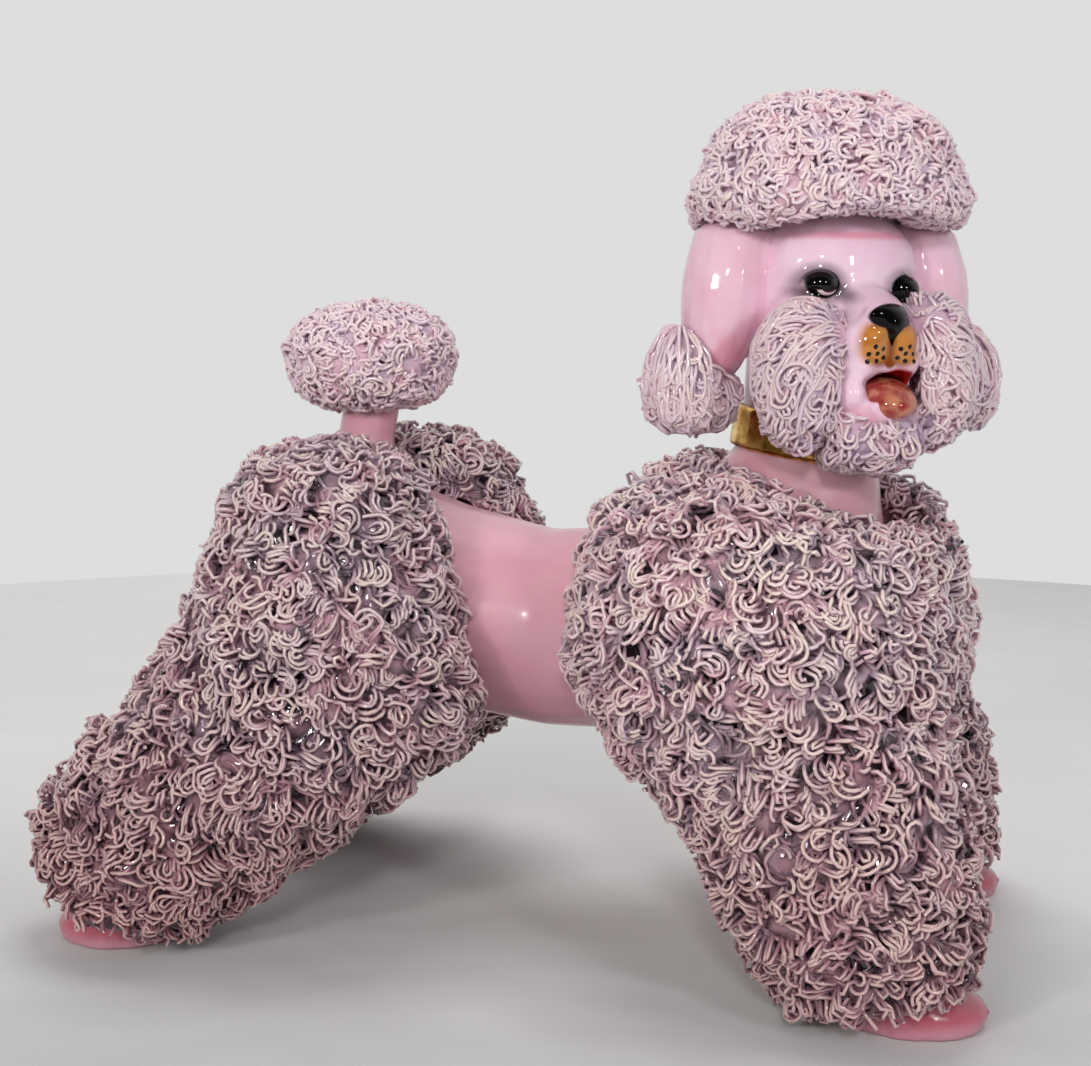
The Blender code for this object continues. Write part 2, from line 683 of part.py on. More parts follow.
def topknot(name):
    rise = TOPKNOT_TOP - TOPKNOT_RIM
    half_x = TOPKNOT_LENGTH / 2
    half_y = TOPKNOT_WIDTH / 2
    return loft(name, [
        section(TOPKNOT_RIM + 0.14 * rise, TOPKNOT_SHIFT, 0.0, 0.95 * half_x, 0.95 * half_y),
        section(TOPKNOT_RIM + 0.3 * rise, TOPKNOT_SHIFT, 0.0, half_x, half_y),
        section(TOPKNOT_RIM + 0.56 * rise, TOPKNOT_SHIFT, 0.0, 0.88 * half_x, 0.88 * half_y),
    ], sides=26, pitch=FINE_PITCH, rounds=(0.14 * rise, 0.44 * rise), frame=HEAD)


def brow_arch_cutter():
    # A wide cylinder along the face that lifts the topknot's rim in an arc over the forehead
    radius = (0.25 * BROW_ARCH_WIDTH ** 2 + BROW_ARCH_RISE ** 2) / (2 * BROW_ARCH_RISE)
    centre = TOPKNOT_RIM + BROW_ARCH_RISE - radius
    start = EAR_SHIFT
    return as_cutter(loft("brow_arch_cutter", [
        section(start, 0.0, centre, radius, radius),
        section(start + TOPKNOT_LENGTH, 0.0, centre, radius, radius),
    ], axis="X", sides=CUTTER_SIDES, pitch=TOPKNOT_LENGTH, frame=HEAD))


def tail_pompom(name):
    half = POMPOM_WIDTH / 2
    low = POMPOM_TOP - POMPOM_HEIGHT
    return loft(name, [
        section(low + 0.35 * POMPOM_HEIGHT, TAIL_X + TAIL_LEAN, 0.0, 0.96 * half, 0.96 * half),
        section(low + 0.56 * POMPOM_HEIGHT, TAIL_X + TAIL_LEAN, 0.0, half, half),
    ], pitch=FINE_PITCH, rounds=(0.35 * POMPOM_HEIGHT, 0.44 * POMPOM_HEIGHT))


# Coats over the legs and the chest

def dressed(sections, heights, lengthways, sideways):
    # The leg's sections with the coat's thickness added, scaled at each height by a pair of shares
    levels = []
    for height, share_x, share_y, shift in heights:
        x, y, half_x, half_y = skin_at(sections, height)
        levels.append(section(height, x + shift * lengthways, y, half_x + share_x * lengthways,
                              half_y + share_y * sideways))
    return levels


def front_leg_coat(name, side):
    low = 0.2 * HEM_HEIGHT
    heights = [
        (low, 0.3, 0.62, -0.22),
        (blend(low, FRONT_KNEE_HEIGHT, 0.5), 0.76, 1.0, -0.12),
        (FRONT_KNEE_HEIGHT, 0.99, 1.0, 0.02),
        (blend(FRONT_KNEE_HEIGHT, ELBOW_HEIGHT, 0.6), 1.1, 0.9, -0.1),
        (MANE_SPLIT + COAT_LAP, 1.15, 0.8, -0.2),
    ]
    levels = dressed(front_leg_sections(side), heights, FRONT_COAT_LENGTHWAYS, FRONT_COAT_SIDEWAYS)
    return loft(name, levels, pitch=COAT_PITCH)


def hind_coat(name, side):
    low = 0.2 * HEM_HEIGHT
    top_room = HIND_COAT_TOP - STIFLE_HEIGHT
    heights = [
        (low, 0.2, 0.62, 0.15),
        (blend(low, HOCK_HEIGHT, 0.55), 0.8, 0.95, 0.06),
        (HOCK_HEIGHT, 1.15, 1.05, 0.04),
        (blend(HOCK_HEIGHT, STIFLE_HEIGHT, 0.5), 1.15, 1.1, 0.03),
        (STIFLE_HEIGHT, 0.88, 1.05, 0.05),
        (STIFLE_HEIGHT + 0.3 * top_room, 0.53, 0.95, 0.07),
        (STIFLE_HEIGHT + 0.55 * top_room, 0.33, 0.7, 0.1),
        (STIFLE_HEIGHT + 0.72 * top_room, 0.12, 0.4, 0.07),
    ]
    leg = hind_leg_sections(side)
    last = leg[-1]
    leg.append(section(HIND_COAT_TOP, last[1], last[2], last[3], last[4]))
    levels = dressed(leg, heights, HIND_COAT_LENGTHWAYS, HIND_COAT_SIDEWAYS)
    if side == LEFT:
        # The tufts of the left hip were laid a little further forward
        for i in range(-3, 0):
            at, x, y, half_x, half_y = levels[i]
            levels[i] = section(at, x + LEFT_HIP_LEAD / 2, y, half_x + LEFT_HIP_LEAD / 2, half_y)
    return loft(name, levels, pitch=COAT_PITCH, rounds=(0.0, 0.28 * top_room))


def hem_cutter(name, paw_x, tilt):
    # Trims a leg coat to a slanting hem, so that the toe of the paw shows
    reach = 2 * FRONT_PAW_LENGTH
    trim = block(name, (-reach, -2 * PAW_SPREAD, -reach), (reach, 2 * PAW_SPREAD, 0.0))
    trim.location = (paw_x, 0.0, HEM_HEIGHT)
    trim.rotation_euler.y = tilt
    return trim


def mane_coat(name):
    half_x = CHEST_REACH + MANE_LENGTHWAYS
    half_y = CHEST_WIDTH / 2 + MANE_SIDEWAYS
    rise = MANE_TOP - MANE_SPLIT
    x = CHEST_X + MANE_SHIFT
    return loft(name, [
        section(MANE_SPLIT - COAT_LAP, x, 0.0, half_x, half_y),
        section(MANE_SPLIT + 0.3 * rise, x, 0.0, 1.01 * half_x, half_y),
        section(MANE_SPLIT + 0.6 * rise, x, 0.0, 0.92 * half_x, 0.9 * half_y),
    ], sides=CUTTER_SIDES, pitch=COAT_PITCH, rounds=(0.0, 0.4 * rise), square=2.3)


def shoulder_cutter():
    # Lets the top of the chest coat fall away to the throat, on the side that the head turns to
    slope = block("shoulder_cutter", (-MANE_TOP, -MANE_TOP, 0.0), (MANE_TOP, MANE_TOP, MANE_TOP))
    slope.location = (DIP_X, RIGHT * DIP_SPREAD / 2, MANE_TOP - CLEARANCE)
    slope.rotation_euler = (0.0, DIP_SLOPE, DIP_TURN)
    return slope


def neckline_cutter():
    # A tilted oval funnel that leaves the smooth chest bare around the neck
    low = 0.8 * CHEST_TOP
    half_x = NECKLINE_LENGTH / 2
    half_y = NECKLINE_WIDTH / 2
    funnel = loft("neckline_cutter", [
        section(0.0, 0.0, 0.0, 0.9 * half_x, 0.9 * half_y),
        section(1.5 * (MANE_TOP - low), 0.0, 0.0, 1.12 * half_x, 1.12 * half_y),
    ], sides=CUTTER_SIDES, pitch=MANE_TOP)
    funnel.location = (NECK_X + NECKLINE_SHIFT, 0.0, low)
    funnel.rotation_euler.y = NECKLINE_TILT
    return as_cutter(funnel)


# Assembly

def build():
    pink_glaze = glaze("pink_glaze", "E59FA8", 0.12)
    face_glaze = glaze("face_glaze", "F0AFBC", 0.1)
    gold_lustre = glaze("gold_lustre", "B88A3A", 0.15, 1.0)
    strand_glaze = glaze("strand_glaze", "C9A8A8", 0.25)
    fine_strand_glaze = glaze("fine_strand_glaze", "DDA9B8", 0.2)

    body_casting(pink_glaze)
    tail_stalk = tail("tail_stalk")
    tail_stalk.data.materials.append(pink_glaze)
    head_casting(face_glaze)
    collar = collar_band(gold_lustre)

    # Grown copies of the castings, which every seated piece is cut by
    trunk_seat = as_cutter(trunk("trunk_seat", CLEARANCE))
    neck_seat = as_cutter(neck("neck_seat", CLEARANCE))
    tail_seat = as_cutter(tail("tail_seat", CLEARANCE))
    skull_seat = as_cutter(skull("skull_seat", CLEARANCE))
    muzzle_seat = as_cutter(muzzle("muzzle_seat", CLEARANCE))
    throat_seat = as_cutter(upper_neck("throat_seat", CLEARANCE))
    head_seats = [skull_seat, muzzle_seat, throat_seat]
    cut(tail_stalk, [trunk_seat])
    cut(collar, [neck_seat, throat_seat, muzzle_seat])
    band_seat = collar_seat()

    far = 2 * (FRONT_PAW_X - HIND_PAW_X)
    below_split = block("below_split", (-far, -far, -far), (far, far, MANE_SPLIT + CLEARANCE / 2))
    above_split = block("above_split", (-far, -far, MANE_SPLIT - CLEARANCE / 2), (far, far, far))
    inner_beard = BEARD_WIDTH / 2 - CLEARANCE / 2
    outer_beard = BEARD_WIDTH / 2 + CLEARANCE / 2
    beard_gap = block("beard_gap", (-far, -outer_beard, -far), (far, outer_beard, far), HEAD)

    ground = block("ground_cutter", (-far, -far, -far), (far, far, 0.15 * HEM_HEIGHT))

    mane = mane_coat("mane_coat")
    clumps(mane, CUTTER_SIDES, CLUMP_RELIEF)
    mane_cutters = [trunk_seat, neck_seat, neckline_cutter(), shoulder_cutter()]
    front_hem = hem_cutter("front_hem_cutter", FRONT_PAW_X, FRONT_HEM_TILT)
    hind_hem = hem_cutter("hind_hem_cutter", HIND_PAW_X, HIND_HEM_TILT)
    for word, side in SIDES.items():
        leg_seat = as_cutter(front_leg("front_leg_seat_" + word, side, CLEARANCE))
        mane_cutters.append(leg_seat)
        coat = front_leg_coat("front_leg_coat_" + word, side)
        clumps(coat, SKIN_SIDES, CLUMP_RELIEF)
        cut(coat, [trunk_seat, leg_seat, front_hem, ground, above_split])
        coat.data.materials.append(strand_glaze)

        leg_seat = as_cutter(hind_leg("hind_leg_seat_" + word, side, CLEARANCE))
        coat = hind_coat("hind_coat_" + word, side)
        clumps(coat, SKIN_SIDES, CLUMP_RELIEF)
        cut(coat, [trunk_seat, leg_seat, tail_seat, hind_hem, ground])
        coat.data.materials.append(strand_glaze)
    cut(mane, mane_cutters + [below_split])
    mane.data.materials.append(strand_glaze)

    ear_seats = []
    for word, side in SIDES.items():
        flap = ear_flap("ear_flap_" + word, side)
        cut(flap, head_seats)
        flap.data.materials.append(face_glaze)
        ear_seat = as_cutter(ear_flap("ear_seat_" + word, side, CLEARANCE))
        ear_seats.append(ear_seat)

        tassel = ear_tassel("ear_tassel_" + word, side)
        cut(tassel, [ear_seat] + head_seats)
        tassel.data.materials.append(fine_strand_glaze)

        ruff = cheek_ruff("cheek_ruff_" + word, side)
        tufts(ruff, TUFT_PITCH, TUFT_RELIEF)
        cut(ruff, [beard_gap, ear_seat, band_seat] + head_seats)
        ruff.data.materials.append(fine_strand_glaze)

    beard = chin_beard("chin_beard")
    tufts(beard, TUFT_PITCH, TUFT_RELIEF)
    for word, side in SIDES.items():
        low = min(side * inner_beard, side * far)
        high = max(side * inner_beard, side * far)
        cut(beard, [block("beard_trim_" + word, (-far, low, -far), (far, high, far), HEAD)])
    cut(beard, head_seats + [neck_seat, band_seat, as_cutter(tongue("tongue_seat", CLEARANCE))])
    beard.data.materials.append(fine_strand_glaze)

    crown = topknot("topknot")
    tufts(crown, TUFT_PITCH, TUFT_RELIEF)
    cut(crown, [skull_seat, brow_arch_cutter()] + ear_seats)
    crown.data.materials.append(fine_strand_glaze)

    pompom = tail_pompom("tail_pompom")
    tufts(pompom, TUFT_PITCH, TUFT_RELIEF)
    cut(pompom, [tail_seat])
    pompom.data.materials.append(fine_strand_glaze)


def stand_on_origin():
    # The middle of the finished figurine's base goes to the origin
    graph = bpy.context.evaluated_depsgraph_get()
    low = Vector((math.inf,) * 3)
    high = Vector((-math.inf,) * 3)
    for obj in PARTS.objects:
        if obj.type != "MESH":
            continue
        solid = obj.evaluated_get(graph)
        for vertex in solid.data.vertices:
            place = solid.matrix_world @ vertex.co
            low = Vector(map(min, low, place))
            high = Vector(map(max, high, place))
    FIGURINE.location = (-(low.x + high.x) / 2, -(low.y + high.y) / 2, -low.z)


build()
stand_on_origin()
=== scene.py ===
import math

import bmesh
import bpy
import numpy as np
from mathutils import Matrix, Vector, noise
from mathutils.bvhtree import BVHTree


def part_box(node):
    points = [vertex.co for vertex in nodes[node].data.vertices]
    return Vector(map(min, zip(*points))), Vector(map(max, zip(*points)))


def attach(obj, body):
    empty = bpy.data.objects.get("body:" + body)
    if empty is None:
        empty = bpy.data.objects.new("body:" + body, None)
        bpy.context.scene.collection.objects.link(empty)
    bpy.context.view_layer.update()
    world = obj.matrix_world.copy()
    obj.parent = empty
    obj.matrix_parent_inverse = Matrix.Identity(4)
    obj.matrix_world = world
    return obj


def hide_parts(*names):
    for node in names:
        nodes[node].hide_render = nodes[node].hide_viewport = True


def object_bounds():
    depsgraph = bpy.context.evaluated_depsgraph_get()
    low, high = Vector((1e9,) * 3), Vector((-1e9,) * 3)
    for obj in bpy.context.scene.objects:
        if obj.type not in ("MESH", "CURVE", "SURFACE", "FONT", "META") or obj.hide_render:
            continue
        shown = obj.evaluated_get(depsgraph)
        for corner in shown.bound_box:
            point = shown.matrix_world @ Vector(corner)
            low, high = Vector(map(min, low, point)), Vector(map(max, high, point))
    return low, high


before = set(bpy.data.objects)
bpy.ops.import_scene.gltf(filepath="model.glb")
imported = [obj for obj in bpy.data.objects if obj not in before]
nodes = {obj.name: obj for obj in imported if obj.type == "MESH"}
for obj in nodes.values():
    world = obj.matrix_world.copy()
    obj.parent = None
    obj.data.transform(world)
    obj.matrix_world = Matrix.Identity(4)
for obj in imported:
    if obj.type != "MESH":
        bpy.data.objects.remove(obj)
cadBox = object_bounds()
mm = 0.001
print("frame loaded,", len(nodes), "nodes")

# The head's own frame: x out of the face, y to the dog's left ear, z up, in millimetres
headPlace = Vector((70.3, 0.05, 157.0)) * mm
headTurn = math.radians(-57.5)
headFrame = Matrix.LocRotScale(headPlace, Matrix.Rotation(headTurn, 3, "Z"), Vector((mm, mm, mm)))
intoFace = (headFrame.to_3x3() @ Vector((-1, 0, 0))).normalized()


# Materials

smooth = {"interpolation_type": "SMOOTHSTEP"}
asTexture = {"vector_type": "TEXTURE"}
inColour = {"data_type": "RGBA"}
larger = {"operation": "MAXIMUM"}
times = {"operation": "MULTIPLY"}


def toLinear(hexColour):
    channels = [int(hexColour[i:i + 2], 16) / 255 for i in (0, 2, 4)]
    return [c / 12.92 if c <= 0.04045 else ((c + 0.055) / 1.055) ** 2.4 for c in channels] + [1.0]


def setInputs(tree, node, inputs):
    # By name, or in the order the node shows them: each takes a value, a hex colour or another node's output
    shown = [socket for socket in node.inputs if socket.enabled]
    if isinstance(inputs, dict):
        shown = [next(socket for socket in shown if socket.name == name) for name in inputs]
        inputs = inputs.values()
    for socket, value in zip(shown, inputs):
        if isinstance(value, bpy.types.NodeSocket):
            tree.links.new(value, socket)
        else:
            socket.default_value = toLinear(value) if socket.type == "RGBA" else value


def addNode(tree, kind, settings=None, inputs=(), output=None):
    # Gives the named output, or the first one that the node shows
    node = tree.nodes.new(kind)
    for name, value in (settings or {}).items():
        setattr(node, name, value)
    setInputs(tree, node, inputs)
    shown = [socket for socket in node.outputs if socket.enabled and output in (None, socket.name)]
    return shown[0] if shown else None


def newMaterial(name):
    material = bpy.data.materials.new(name)
    material.use_nodes = True
    return material, material.node_tree


def patches(tree, sizeMm, detail=2.0, roughness=0.5):
    # Soft noise whose patches are about this wide
    place = addNode(tree, "ShaderNodeTexCoord", output="Object")
    return addNode(tree, "ShaderNodeTexNoise", None, {
        "Vector": place, "Scale": 1 / (sizeMm * mm), "Detail": detail, "Roughness": roughness}, "Fac")


def laidOver(tree, below, above, value, low, high, most=1.0):
    # Lays one colour over another: none of it where the value is low, a share of most where it is high
    share = addNode(tree, "ShaderNodeMapRange", smooth, (value, low, high, 0.0, most))
    return addNode(tree, "ShaderNodeMix", inColour, (share, below, above))


def setShader(tree, inputs, rippleMm, depthMm, strength):
    # A ripple of the surface bends its reflections, as on melted glaze, or shades its folds, as on cloth
    bump = addNode(tree, "ShaderNodeBump", None, {
        "Height": patches(tree, rippleMm), "Distance": depthMm * mm, "Strength": strength})
    setInputs(tree, tree.nodes["Principled BSDF"], dict(inputs, Normal=bump))


# Pieces

def newObject(name, data):
    obj = bpy.data.objects.new(name, data)
    bpy.context.scene.collection.objects.link(obj)
    return obj


def seatPiece(name, mesh, material, replaced=()):
    piece = newObject(name, mesh)
    if material:
        mesh.materials.clear()
        mesh.materials.append(material)
    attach(piece, "root")
    if replaced:
        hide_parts(*replaced)


def meshOf(name, work):
    mesh = bpy.data.meshes.new(name)
    work.to_mesh(mesh)
    work.free()
    return mesh


def roundMesh(name, work):
    bmesh.ops.recalc_face_normals(work, faces=work.faces)
    mesh = meshOf(name, work)
    mesh.shade_smooth()
    return mesh


def skinOf(mesh):
    return BVHTree.FromPolygons([v.co for v in mesh.vertices], [p.vertices for p in mesh.polygons])


def mergedCopy(*nodeNames):
    # The nodes' triangles joined at their corners
    work = bmesh.new()
    for nodeName in nodeNames:
        work.from_mesh(nodes[nodeName].data)
    bmesh.ops.remove_doubles(work, verts=work.verts, dist=0.001 * mm)
    return work


def evaluatedMesh(obj):
    bpy.context.view_layer.update()
    graph = bpy.context.evaluated_depsgraph_get()
    return bpy.data.meshes.new_from_object(obj.evaluated_get(graph))


def addModifier(obj, kind, **settings):
    modifier = obj.modifiers.new(kind.title(), kind)
    for name, value in settings.items():
        setattr(modifier, name, value)
    return modifier


def softened(name, work, cell, rounds, cutters=()):
    # One skin over the shape, in even cells, with its joints and edges melted as a glaze does
    blank = newObject(name + "Blank", meshOf(name, work))
    addModifier(blank, "REMESH", mode="VOXEL", voxel_size=cell * mm)
    addModifier(blank, "SMOOTH", factor=0.5, iterations=rounds)
    for cutter in cutters:
        addModifier(blank, "BOOLEAN", operation="DIFFERENCE", solver="EXACT", object=cutter)
    if cutters:
        # The cut edges melt a little too
        addModifier(blank, "REMESH", mode="VOXEL", voxel_size=cell * mm)
        addModifier(blank, "SMOOTH", factor=0.5, iterations=3)
    result = evaluatedMesh(blank)
    result.name = name
    result.shade_smooth()
    for helper in (blank, *cutters):
        bpy.data.objects.remove(helper)
    return result


def addEllipsoid(work, centre, widths, turn=0.0, lean=0.0, segments=32, rings=20):
    # An ellipsoid in the head's frame, from its centre and three widths
    rotation = Matrix.Rotation(turn, 3, "Z") @ Matrix.Rotation(lean, 3, "Y")
    place = headFrame @ Matrix.LocRotScale(Vector(centre), rotation, Vector([0.5 * w for w in widths]))
    bmesh.ops.create_uvsphere(work, u_segments=segments, v_segments=rings, radius=1.0, matrix=place)


# Earthenware body under a clear pink glaze: glassy, with painted shade that darkens it lower down, and redder
# where it pools at the paws
bodyGlaze = {
    "pink": "D39AA8", "pale": "E2BAC3", "deep": "A9647A", "paw": "B04C5A", "roughness": 0.24,
    "mottleMm": 22, "skinMm": 2.2, "paleShare": 0.45, "deepShare": 0.5, "pawShare": 0.85,
    # Heights over the floor between which the colour changes, in metres
    "deepHeights": (0.098, 0.045), "soleHeights": (0.001, 0.005), "pawHeights": (0.03, 0.012),
    "cell": 1.3, "rounds": 8, "tailCell": 0.6, "tailRounds": 6,
}


def makeBodyGlaze():
    look = bodyGlaze
    material, tree = newMaterial("pinkGlazedEarthenware")
    place = addNode(tree, "ShaderNodeTexCoord", output="Object")
    height = addNode(tree, "ShaderNodeSeparateXYZ", None, (place,), "Z")
    mottle = patches(tree, look["mottleMm"], 3)
    colour = laidOver(tree, look["pink"], look["pale"], mottle, 0.35, 0.7, look["paleShare"])
    # Painted shade: the colour darkens towards the belly and legs
    colour = laidOver(tree, colour, look["deep"], height, *look["deepHeights"], look["deepShare"])
    low, high = look["soleHeights"]
    overSole = addNode(tree, "ShaderNodeMapRange", smooth, (height, low, high, 0.0, look["pawShare"]))
    colour = laidOver(tree, colour, look["paw"], height, *look["pawHeights"], overSole)
    setShader(tree, {
        "Base Color": colour, "Roughness": look["roughness"], "IOR": 1.5, "Coat Weight": 0.15,
        "Coat Roughness": 0.04}, look["skinMm"], 0.03, 0.5)
    return material


bodyMaterial = makeBodyGlaze()
bodyMesh = softened("bodyCasting", mergedCopy("body_casting"), bodyGlaze["cell"], bodyGlaze["rounds"])
seatPiece("bodyCasting", bodyMesh, bodyMaterial, ["body_casting"])
tailMesh = softened("tailStalk", mergedCopy("tail_stalk"), bodyGlaze["tailCell"], bodyGlaze["tailRounds"])
seatPiece("tailStalk", tailMesh, bodyMaterial, ["tail_stalk"])
print("smooth body and tail stalk made")

# Gold lustre fired over the glaze: a thin metal film, bright and a little streaky
goldBand = {"gold": "F4CC78", "dark": "C08C3C", "roughness": 0.24, "streakMm": 3.5, "skinMm": 1.4,
            "cell": 0.5, "rounds": 3}


def makeGold():
    look = goldBand
    material, tree = newMaterial("firedGoldLustre")
    streaks = patches(tree, look["streakMm"], 4, 0.6)
    colour = laidOver(tree, look["dark"], look["gold"], streaks, 0.38, 0.66)
    setShader(tree, {
        "Base Color": colour, "Roughness": look["roughness"], "Metallic": 1.0}, look["skinMm"], 0.04, 0.5)
    return material


collarMesh = softened("goldCollar", mergedCopy("collar_band"), goldBand["cell"], goldBand["rounds"])
seatPiece("goldCollar", collarMesh, makeGold(), ["collar_band"])
print("gold collar made")

# Head casting: one smooth skin from the forehead to the chin, with painted eyes, nose, pads and mouth.
# Each form is an ellipsoid's centre and widths, with its turn and lean where it has them
headShape = {
    "bridge": ((26.0, 0.0, -4.6), (25.0, 12.5, 9.0), 0.0, 0.32),
    "brow": ((10.5, 0.0, 5.0), (24.5, 36.0, 26.0)),
    "cheek": ((15.0, 11.0, -10.0), (22.0, 19.0, 22.0)),
    "pad": ((28.5, 3.6, -11.6), (15.5, 9.2, 12.0)),
    "upperLip": ((26.0, 4.6, -16.5), (19.0, 10.5, 9.0)),
    "jaw": ((23.0, 0.0, -27.5), (25.0, 18.5, 9.0)),
    "nearCorner": ((25.0, -6.6, -23.4), (18.0, 8.6, 10.5)),
    "beforeLips": ((42.2, 0.0, -25.6), (14.0, 20.0, 11.0)),
    "cell": 0.55, "rounds": 14,
}
# The open mouth: half its outline, from its peak to its lowest point, across and up; its middle; and how
# its outline narrows from before the lips to the throat
mouthShape = {
    "outline": [(0.0, -17.9), (2.2, -18.3), (4.4, -19.3), (5.5, -20.7), (4.7, -22.6), (3.1, -24.6),
                (1.8, -26.4), (0.7, -27.4)],
    "middle": (2.7, -22.6), "depths": ((44.0, 1.25), (35.5, 1.0), (31.0, 0.9), (26.0, 0.72), (21.0, 0.4)),
}


def frontCutter():
    # Clears the space before the lips, where the finer tongue goes
    work = bmesh.new()
    centre, widths = headShape["beforeLips"]
    place = Matrix.LocRotScale(Vector(centre), None, Vector(widths))
    bmesh.ops.create_cube(work, size=1.0, matrix=headFrame @ place)
    return newObject("frontCutter", meshOf("frontCutter", work))


def mouthCutter():
    half = mouthShape["outline"]
    ring = half + [(-y, z) for y, z in reversed(half[1:])]
    aside, middle = mouthShape["middle"]
    work = bmesh.new()
    loops = []
    for x, share in mouthShape["depths"]:
        points = [Vector((x, aside + y * share, middle + (z - middle) * share)) for y, z in ring]
        loops.append([work.verts.new(headFrame @ point) for point in points])
    for near, far in zip(loops, loops[1:]):
        for i in range(len(ring)):
            j = (i + 1) % len(ring)
            work.faces.new((near[i], near[j], far[j], far[i]))
    work.faces.new(loops[0])
    work.faces.new(loops[-1])
    bmesh.ops.recalc_face_normals(work, faces=work.faces)
    return newObject("mouthCutter", meshOf("mouthCutter", work))


def headBlank():
    work = mergedCopy("head_casting")
    for key in ("bridge", "brow", "jaw", "nearCorner"):
        addEllipsoid(work, *headShape[key])
    for side in (-1, 1):
        for key in ("cheek", "pad", "upperLip"):
            (x, y, z), widths = headShape[key]
            addEllipsoid(work, (x, side * y, z), widths)
    return work


def headPlaces(tree):
    # Millimetres out of the face, to the dog's left, up and to either side, and the height of the lids,
    # whose left one is painted lower
    place = addNode(tree, "ShaderNodeTexCoord", output="Object")
    local = addNode(tree, "ShaderNodeMapping", asTexture, {
        "Vector": place, "Location": headPlace, "Rotation": (0, 0, headTurn), "Scale": (mm, mm, mm)})
    x, y, z = addNode(tree, "ShaderNodeSeparateXYZ", None, (local,)).node.outputs
    across = addNode(tree, "ShaderNodeMath", {"operation": "ABSOLUTE"}, (y,))
    onLeft = addNode(tree, "ShaderNodeMath", {"operation": "GREATER_THAN"}, (y, 0.0))
    lidUp = addNode(tree, "ShaderNodeMath", {"operation": "MULTIPLY_ADD"}, (onLeft, eyes["lower"], z))
    return x, y, z, across, lidUp


def fromMiddle(tree, across, up, middle, halfWidths):
    # Distance from an ellipse's middle, in shares of its half widths
    flat = addNode(tree, "ShaderNodeCombineXYZ", None, (across, up))
    local = addNode(tree, "ShaderNodeMapping", asTexture, {
        "Vector": flat, "Location": (*middle, 0), "Scale": (*halfWidths, 1)})
    return addNode(tree, "ShaderNodeVectorMath", {"operation": "LENGTH"}, (local,))


# Eyes: glossy black domes with a pale crescent at the lower lid
eyes = {
    "across": 10.1, "up": {-1: 0.8, 1: -0.3}, "lower": 1.1, "out": 20.3, "widths": (7.6, 8.1, 6.5),
    "turn": 24, "segments": 48, "rings": 28,
    "black": "060506", "lid": "E9B9BE", "lidPale": "FFF6F2", "roughness": 0.06,
    # The crescent lies on the lower edge of an ellipse: its middle and half widths, the crescent's upper end,
    # and its edges in shares of the half widths
    "crescent": ((9.4, 0.9), (3.1, 2.7)), "crescentTop": (-0.4, -0.8), "crescentInner": (0.74, 0.8),
    "crescentOuter": (1.06, 0.98), "lidMm": 0.8,
}
headPaint = {
    "pink": "E9C2D7", "pale": "F0DCE8", "blush": "DC8FA2", "shade": "241B22", "black": "060505",
    "tan": "C4803C", "brown": "7A3A0E", "mouth": "B0141E", "roughness": 0.07,
    "mottleMm": 14, "spotMm": 3.2, "skinMm": 1.8,
    # How strongly each paint covers
    "paleShare": 0.5, "creaseShare": 0.8, "chinShare": 0.7, "lidShare": 0.85, "upperLidShare": 0.595,
    "brownShare": 0.95, "spotShare": 0.35,
    # Soft-edged ellipses of paint: middle across and up, half widths, and the shares of these at which the
    # paint is full and at which there is none
    "crease": ((0.0, 11.6), (19.0, 1.1), 0.2, 1.4),
    "chin": ((7.0, -29.0), (6.0, 3.2), 0.2, 1.4),
    "innerLid": ((6.6, -0.6), (3.4, 3.6), 0.2, 1.15),
    "outerLid": ((13.4, -1.3), (4.2, 3.3), 0.2, 1.15),
    "upperLid": ((10.1, 0.9), (6.4, 5.2), 0.6, 1.12),
    "rim": ((10.1, 0.8), (4.1, 3.4), 0.9, 1.05),
    "padSide": ((2.9, -12.3), (5.2, 5.7), 0.7, 1.12),
    "padFoot": ((0.0, -14.0), (2.4, 3.9), 0.8, 1.1),
    "padHem": ((3.4, -12.6), (3.9, 4.8), 1.1, 0.5),
    "nose": ((0.0, -6.4), (5.5, 2.8), 0.93, 1.03),
    "inside": (mouthShape["middle"], (5.8, 5.4), 0.86, 1.02),
    # Where the paint starts along x: behind the brow, on the muzzle, at the nose and in the mouth
    "front": (10.0, 15.0), "muzzle": (27.0, 31.0), "noseFront": (29.0, 30.5), "throat": (14.0, 18.0),
    # The brown paint fades from the groove to the sides, and the red one ends at the lips
    "groove": (1.7, 0.0), "hemSides": (6.5, 3.0), "lips": (35.4, 33.8),
    # The nose's point runs down the groove: its heights, its taper, its half width at the top and its edge
    "pointFoot": (-13.2, -12.6), "pointTop": (-7.0, -7.4), "pointTaper": (-13.2, -7.8),
    "pointPower": 1.7, "pointHalf": 3.0, "pointEdge": (0.3, -0.05),
    # The glaze mirrors less over the black paint
    "mirror": 0.5, "dulled": -0.3,
}


